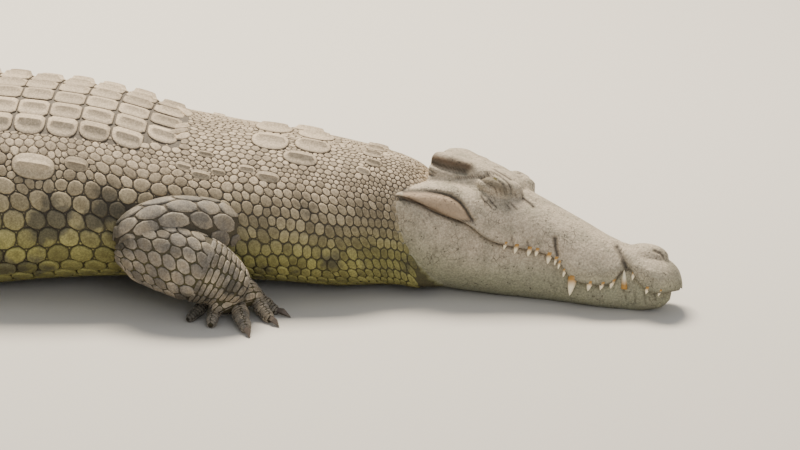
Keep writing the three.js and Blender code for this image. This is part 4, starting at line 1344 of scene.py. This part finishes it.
def scattered_rows(shares, widths, start, end, side):
    """Points along rows at these shares of the half round, each row with its own stride."""
    points = []
    for share, width in zip(shares, widths):
        distance = start + rng.uniform(0, 12)
        while distance < end:
            half = float(half_round(distance))
            pitch = width * half
            on_neck = float(ramp(distance, 560, 420))
            low = float(ramp(share, 0.25, 0.45))
            stretch = 1.12 - 0.36 * on_neck * low
            wave = 0.096 * width * math.sin(distance / 63 + share * 9)
            around = side * (share + wave) * half + rng.normal(0, 0.07) * pitch
            points.append([distance, around])
            distance += pitch * stretch * rng.uniform(0.86, 1.16)
    return points


def away_from(points, plates):
    """Points clear of the big plates, with a close ring of small neighbours round each plate."""
    points = np.array(points)
    kept = np.ones(len(points), bool)
    collar, fence = [], []
    for ring in plates:
        centre = ring.mean(0)
        size = np.abs(ring - centre).max(0)
        near = ((np.abs(points - centre) / (size + PLATE_ROOM)) ** 2.2).sum(1) < 1
        kept &= ~near
        count = max(10, int(2 * math.pi * size.mean() / COLLAR_PITCH))
        outside = oval_ring(centre, *(size + COLLAR_PITCH / 2), count, 2.4)
        collar += list(outside + rng.normal(0, 0.7, (count, 2)))
        fence += list(oval_ring(centre, *(size - 5.5), count, 2.4))
    return np.vstack([points[kept], collar]), np.array(fence)


def flank_layout(side):
    """Points of the pebbles of one side, and a fence of points that closes the outer cells."""
    shares, widths = row_shares(ROW_WIDTHS, ARMOUR_SHARE, BELLY_SHARE)
    points = scattered_rows(shares, widths, NECK_SCALES_FROM, TAIL_START, side)
    shares, widths = row_shares(NECK_ROW_WIDTHS, 0.0, ARMOUR_SHARE)
    nape_end = ARMOUR_START + NO_NAPE_ROW
    nape = np.array(scattered_rows(shares, widths, NECK_SCALES_FROM, nape_end, side))
    beside = np.abs(nape[:, 1]) > 2.4 * column_pitch(nape[:, 0])
    points += nape[(nape[:, 0] < ARMOUR_START - 8) | beside].tolist()
    plates = [r for r in shield_rings if r[:, 1].mean() * side > 0]
    points, fence = away_from(points, plates)
    edge_d = np.arange(70, TAIL_START + 30, 16.0)
    lowest = side * BELLY_SHARE * 1.015 * half_round(edge_d)
    columns = np.where(edge_d > nape_end, 3.0, 2.3)
    highest = side * np.where(edge_d > ARMOUR_START, columns * column_pitch(edge_d) - 5, -7.0)
    fences = [fence, np.stack([edge_d, lowest], 1), np.stack([edge_d, highest], 1)]
    ends = np.linspace(-0.05, 0.9, 60)
    for distance in (66.0, TAIL_START + 14):
        fences.append(np.stack([np.full(60, distance), side * ends * half_round(distance)], 1))
    return points, np.vstack(fences)


for side, word in ((1, "right"), (-1, "left")):
    points, fence = flank_layout(side)
    rings, gaps = pebbles(points, fence)
    gaps = gaps[(gaps[:, 0] > 90) & (gaps[:, 0] < TAIL_START)]
    small = grains(gaps, rings)
    coat_piece(f"flank_scales_{word}", [
        (rings, heights_of(rings), FLAT, on_body),
        (small, heights_of(small, 0.4, 2.0, 0.8), GRAIN, on_body),
    ])

# %% [markdown]
# ## Belly and tail
# Under the body the scales are flat and square, set in rows across it. The tail is ringed by
# whorls of long square scales, and it carries a saw of upright flaps: two rows on its front
# half, which meet and go on as one.

# %% Belly plates
BELLY_PITCH, BELLY_WIDTH = 33.0, 34


def row_of_tiles(distance, pitch, start, end, count, groove):
    """Square scales side by side on both sides of the body, from one way round to another."""
    edges = start + (end - start) * np.arange(count + 1) / count
    return [tile(distance, distance + pitch, side * a, side * b, groove)
            for side in (-1, 1) for a, b in zip(edges, edges[1:])]


def belly_layout():
    """Rows of square plates under the body."""
    rings = []
    for distance in np.arange(95, 1760, BELLY_PITCH):
        half = float(half_round(distance))
        count = max(1, round((1 - BELLY_SHARE) * half / BELLY_WIDTH))
        rings += row_of_tiles(distance, BELLY_PITCH, BELLY_SHARE * half, half, count, 0.9)
    return np.array(rings)


belly_rings = belly_layout()
coat_piece("belly_plates", [(belly_rings, heights_of(belly_rings, 0.1, 2.6), FLAT, on_body)])

# %% Whorls and crests of the tail
WHORL_PITCH = 28.0
TAIL_END, CREST_END = 3560.0, 3540.0
CREST_START, CREST_JOIN = 1500.0, 2560.0
CREST_PITCH, CREST_SPREAD = 56.0, 0.42  # the spread is a share of the body's half width
CREST_LEAST, CREST_GROWTH = 10, 34  # heights


def tail_layout():
    """Whorls round the tail, of fewer and shorter scales towards its tip."""
    rings = []
    distance = TAIL_START + 14
    while distance < TAIL_END:
        half = float(half_round(distance))
        count = max(4, round(half / 24)) if distance < 2400 else max(3, round(half / 20))
        pitch = WHORL_PITCH if distance < 3000 else WHORL_PITCH * 0.8
        rings += row_of_tiles(distance, pitch, 0, half, count, 1.0)
        distance += pitch
    return np.array(rings)


def crest_height(distance):
    """Height of the crest scales: low at the hips, tall past the middle of the tail."""
    swell = np.sin(math.pi * np.clip((distance - 1200) / 2400, 0, 1)) ** 0.8
    return CREST_LEAST + CREST_GROWTH * ramp(distance, CREST_START - 60, 1900) * swell


def crest_layout():
    """The upright flaps: thin ovals on the map, with tall crowns that lean back."""
    rings, tall = [], []
    for distance in np.arange(CREST_START + CREST_PITCH / 2, CREST_END, CREST_PITCH):
        wide = CREST_SPREAD * float(table(BODY_SIZES, distance))
        apart = distance < CREST_JOIN
        for around in [wide * 1.06, -wide * 1.06] if apart else [0.0]:
            half_width = min(9.0, wide + 2)
            rings.append(oval_ring(
                (distance, around), CREST_PITCH * 0.52, half_width, SCUTE_RING, 2.6))
            tall.append(float(crest_height(distance)) * (1.0 if apart else 1.15))
    return np.array(rings), np.array(tall)


tail_rings = tail_layout()
crest_rings, crest_tall = crest_layout()
coat_piece("tail_whorls", [(tail_rings, heights_of(tail_rings, 0.14, 3.2), FLAT, on_body)])
coat_piece("tail_crest", [(crest_rings, crest_tall, FLAP, on_body)])

# %% [markdown]
# ## Scales of the limbs
# A limb's own map gives the distance along it and the angle round it. The upper arm and the
# elbow carry long smooth plates, the forearm rounded ones in slanting rows, and towards the
# wrist they turn into narrow bands right across the hand. Toes are ringed all the way.


# %% Maps of the limbs
JITTER = 0.07  # of a cell's size
BAND_SHIFT = 0.12  # every other band is turned by this share of a cell


def on_limb(limb, length):
    """A limb's middle girth, and its map in flat millimetres along and round."""
    wide, thick = limb.sizes(np.linspace(0, limb.length, 30))
    girth, depth = float(np.mean(np.pi * (wide + thick))), LIMB_DEPTHS[length]
    return girth, lambda along, around, lift: limb.point(
        np.clip(along, 0, limb.length), around / girth * 2 * math.pi, lift - depth)


def hex_layout(length, girth, pitch, wide, slant):
    """Staggered cells over a limb, the rows slanting by a share of the girth."""
    points = []
    rows = max(6, 2 * round(girth / wide / 2))
    for row in range(-4, rows + 4):
        around = (row + 0.5) * girth / rows
        distance = -pitch + (row % 2) * pitch / 2 + slant * around
        distance -= math.floor(distance / pitch + 1) * pitch
        while distance < length + pitch:
            points.append([distance + rng.normal(0, JITTER) * pitch,
                           around + rng.normal(0, JITTER) * wide])
            distance += pitch
    edge = np.linspace(-4 * girth / rows, girth * (1 + 4 / rows), 40)
    fence = np.vstack([np.stack([np.full(40, end), edge], 1)
                       for end in (-1.6 * pitch, length + 1.9 * pitch)])
    rings, _ = pebbles(np.array(points), fence, 0.4, 0.8)
    along, around = rings.mean(1).T
    return rings[(around >= 0) & (around < girth) & (along > 0) & (along < length)]


def band_layout(start, end, girth, pitch, cells, groove=0.9):
    """Rings of square scales right round a limb or a toe."""
    rings = []
    for row in range(math.ceil((end - start) / pitch)):
        distance = start + row * pitch
        edges = girth * (np.arange(cells + 1) + (row % 2) * BAND_SHIFT) / cells
        rings += [tile(distance, distance + pitch, a, b, groove) for a, b in zip(edges, edges[1:])]
    return np.array(rings)


LIMB_LAYOUTS = {  # plates of the upper part; share of the lower one where its bands begin
    "fore": ((46, 30, 0.25), 0.66),
    "hind": ((30, 27, 0.25), 0.7),
}
for (name, side), leg in LEGS.items():
    upper_cells, bands_from = LIMB_LAYOUTS[name]
    batches = []

    def add(rings, steep, most, place):
        """One more batch of flat scales."""
        batches.append((rings, heights_of(rings, steep, most), FLAT, place))

    girth, place = on_limb(leg["upper"], "upper")
    add(hex_layout(leg["upper"].length, girth, *upper_cells), 0.13, 3.4, place)
    girth, place = on_limb(leg["lower"], "lower")
    end = leg["lower"].length
    add(hex_layout(end * bands_from, girth, 25, 23, 0.45), 0.15, 3.0, place)
    add(band_layout(end * bands_from, end, girth, 10.0, 12), 0.2, 2.6, place)
    girth, place = on_limb(leg["sole"], "sole")
    add(band_layout(0, leg["sole"].length, girth, 9.0, 12), 0.2, 2.4, place)
    for toe in leg["toes"]:
        girth, place = on_limb(toe, "toe")
        rings = band_layout(toe.length * 0.1, toe.length * 0.97, girth, 6.6, 4, 0.6)
        add(rings, 0.24, 1.9, place)
    coat_piece(f"{name}_scales_{side}", batches, limb=1)

# %% [markdown]
# ## Teeth
# Each tooth is a bent cone of rings. The number stored on it runs from 0 at the root to 1 at the
# tip, so that one material can paint the amber gum line and the ivory point.

# %% Teeth
UPPER_TEETH = [  # distance forward, length below the lip, radius at the root
    [176, 9, 4.5], [197, 13, 6], [223, 13, 6], [238, 10, 6], [263, 17, 7], [278, 10, 4],
    [286, 11, 4], [298, 12, 4.5], [314, 34, 10], [349, 14, 7], [372, 10, 6], [390, 13, 6],
    [430, 12, 5], [462, 8, 5], [486, 7, 4],
]
LOWER_TOOTH = [411, 34, 74, 6.5]  # distance forward, height of root and of tip, radius
TOOTH_LEAN, TOOTH_ROOT, TOOTH_INSET = 4.0, 8.0, 2.0
LOWER_TOOTH_OUT = 5.0  # how far the lower tooth stands over the jaw's side
UPPER_TOOTH_IN = 0.6  # share of its radius that an upper one stands within the lip
TOOTH_RING, TOOTH_STEPS = 12, 8
TOOTH_BEND, TOOTH_DEPTH = 0.12, 0.85  # bend outwards, and width across, as shares


def tooth_rings(root, tip, radius, side):
    """Rings of one bent cone, from its root to its tip, in the head's frame."""
    shares = np.linspace(0, 1, TOOTH_STEPS)[:, None]
    angles = np.arange(TOOTH_RING) / TOOTH_RING * 2 * math.pi
    x, y, z = (root + (tip - root) * shares).T[:, :, None]
    y = y + side * TOOTH_BEND * radius * np.sin(shares * math.pi)
    size = radius * (1 - shares ** 1.6) ** 0.75
    return np.stack([
        x + size * np.cos(angles), y + size * TOOTH_DEPTH * np.sin(angles), z + 0 * angles], -1)


def tooth_rows():
    """Root, tip, radius and side of every tooth."""
    for side in (-1, 1):
        for x, length, radius in UPPER_TEETH:
            out = side * (float(table(SKULL_HALF_WIDTH, x)) - radius * UPPER_TOOTH_IN - TOOTH_INSET)
            lip = float(table(MOUTH_LINE, x))
            tip = [x - TOOTH_LEAN, out, lip - length]
            yield np.array([x, out, lip + TOOTH_ROOT]), np.array(tip), radius, side
        x, low, high, radius = LOWER_TOOTH
        out = side * (float(table(JAW_HALF_WIDTH, x)) - radius + LOWER_TOOTH_OUT)
        yield np.array([x, out, low]), np.array([x - TOOTH_LEAN, out, high]), radius, side


bm = bmesh.new()
tone = bm.verts.layers.float.new("tone")
for row in tooth_rows():
    rings = metres(head_to_plan(tooth_rings(*row)))
    before = None
    for share, ring in zip(np.linspace(0, 1, TOOTH_STEPS), rings):
        verts = [bm.verts.new(point) for point in ring]
        for k, vert in enumerate(verts):
            vert[tone] = share
            if before:
                bm.faces.new((before[k - 1], before[k], vert, verts[k - 1]))
        if not before:
            bm.faces.new(verts)
        before = verts
bmesh.ops.recalc_face_normals(bm, faces=bm.faces)
mesh = bpy.data.meshes.new("teeth")
bm.to_mesh(mesh)
bm.free()
mesh.shade_smooth()

ivory, tree, shader = new_material("tooth_ivory")
along = add_node(tree, "ShaderNodeAttribute", {"attribute_name": "tone"}).outputs["Fac"]
gum = add_node(tree, "ShaderNodeMapRange", {"From Min": 0.2, "From Max": 0.55}, {"Value": along})
mix = add_node(tree, "ShaderNodeMix", {"data_type": "RGBA"}, {0: gum.outputs["Result"]})
mix.inputs[6].default_value = linear("#a87c38")
mix.inputs[7].default_value = linear("#ece0c0")
tree.links.new(mix.outputs[2], shader.inputs["Base Color"])
shader.inputs["Roughness"].default_value = 0.35
dress(add_object("teeth", mesh), ivory)
print("teeth:", len(mesh.polygons), "faces")
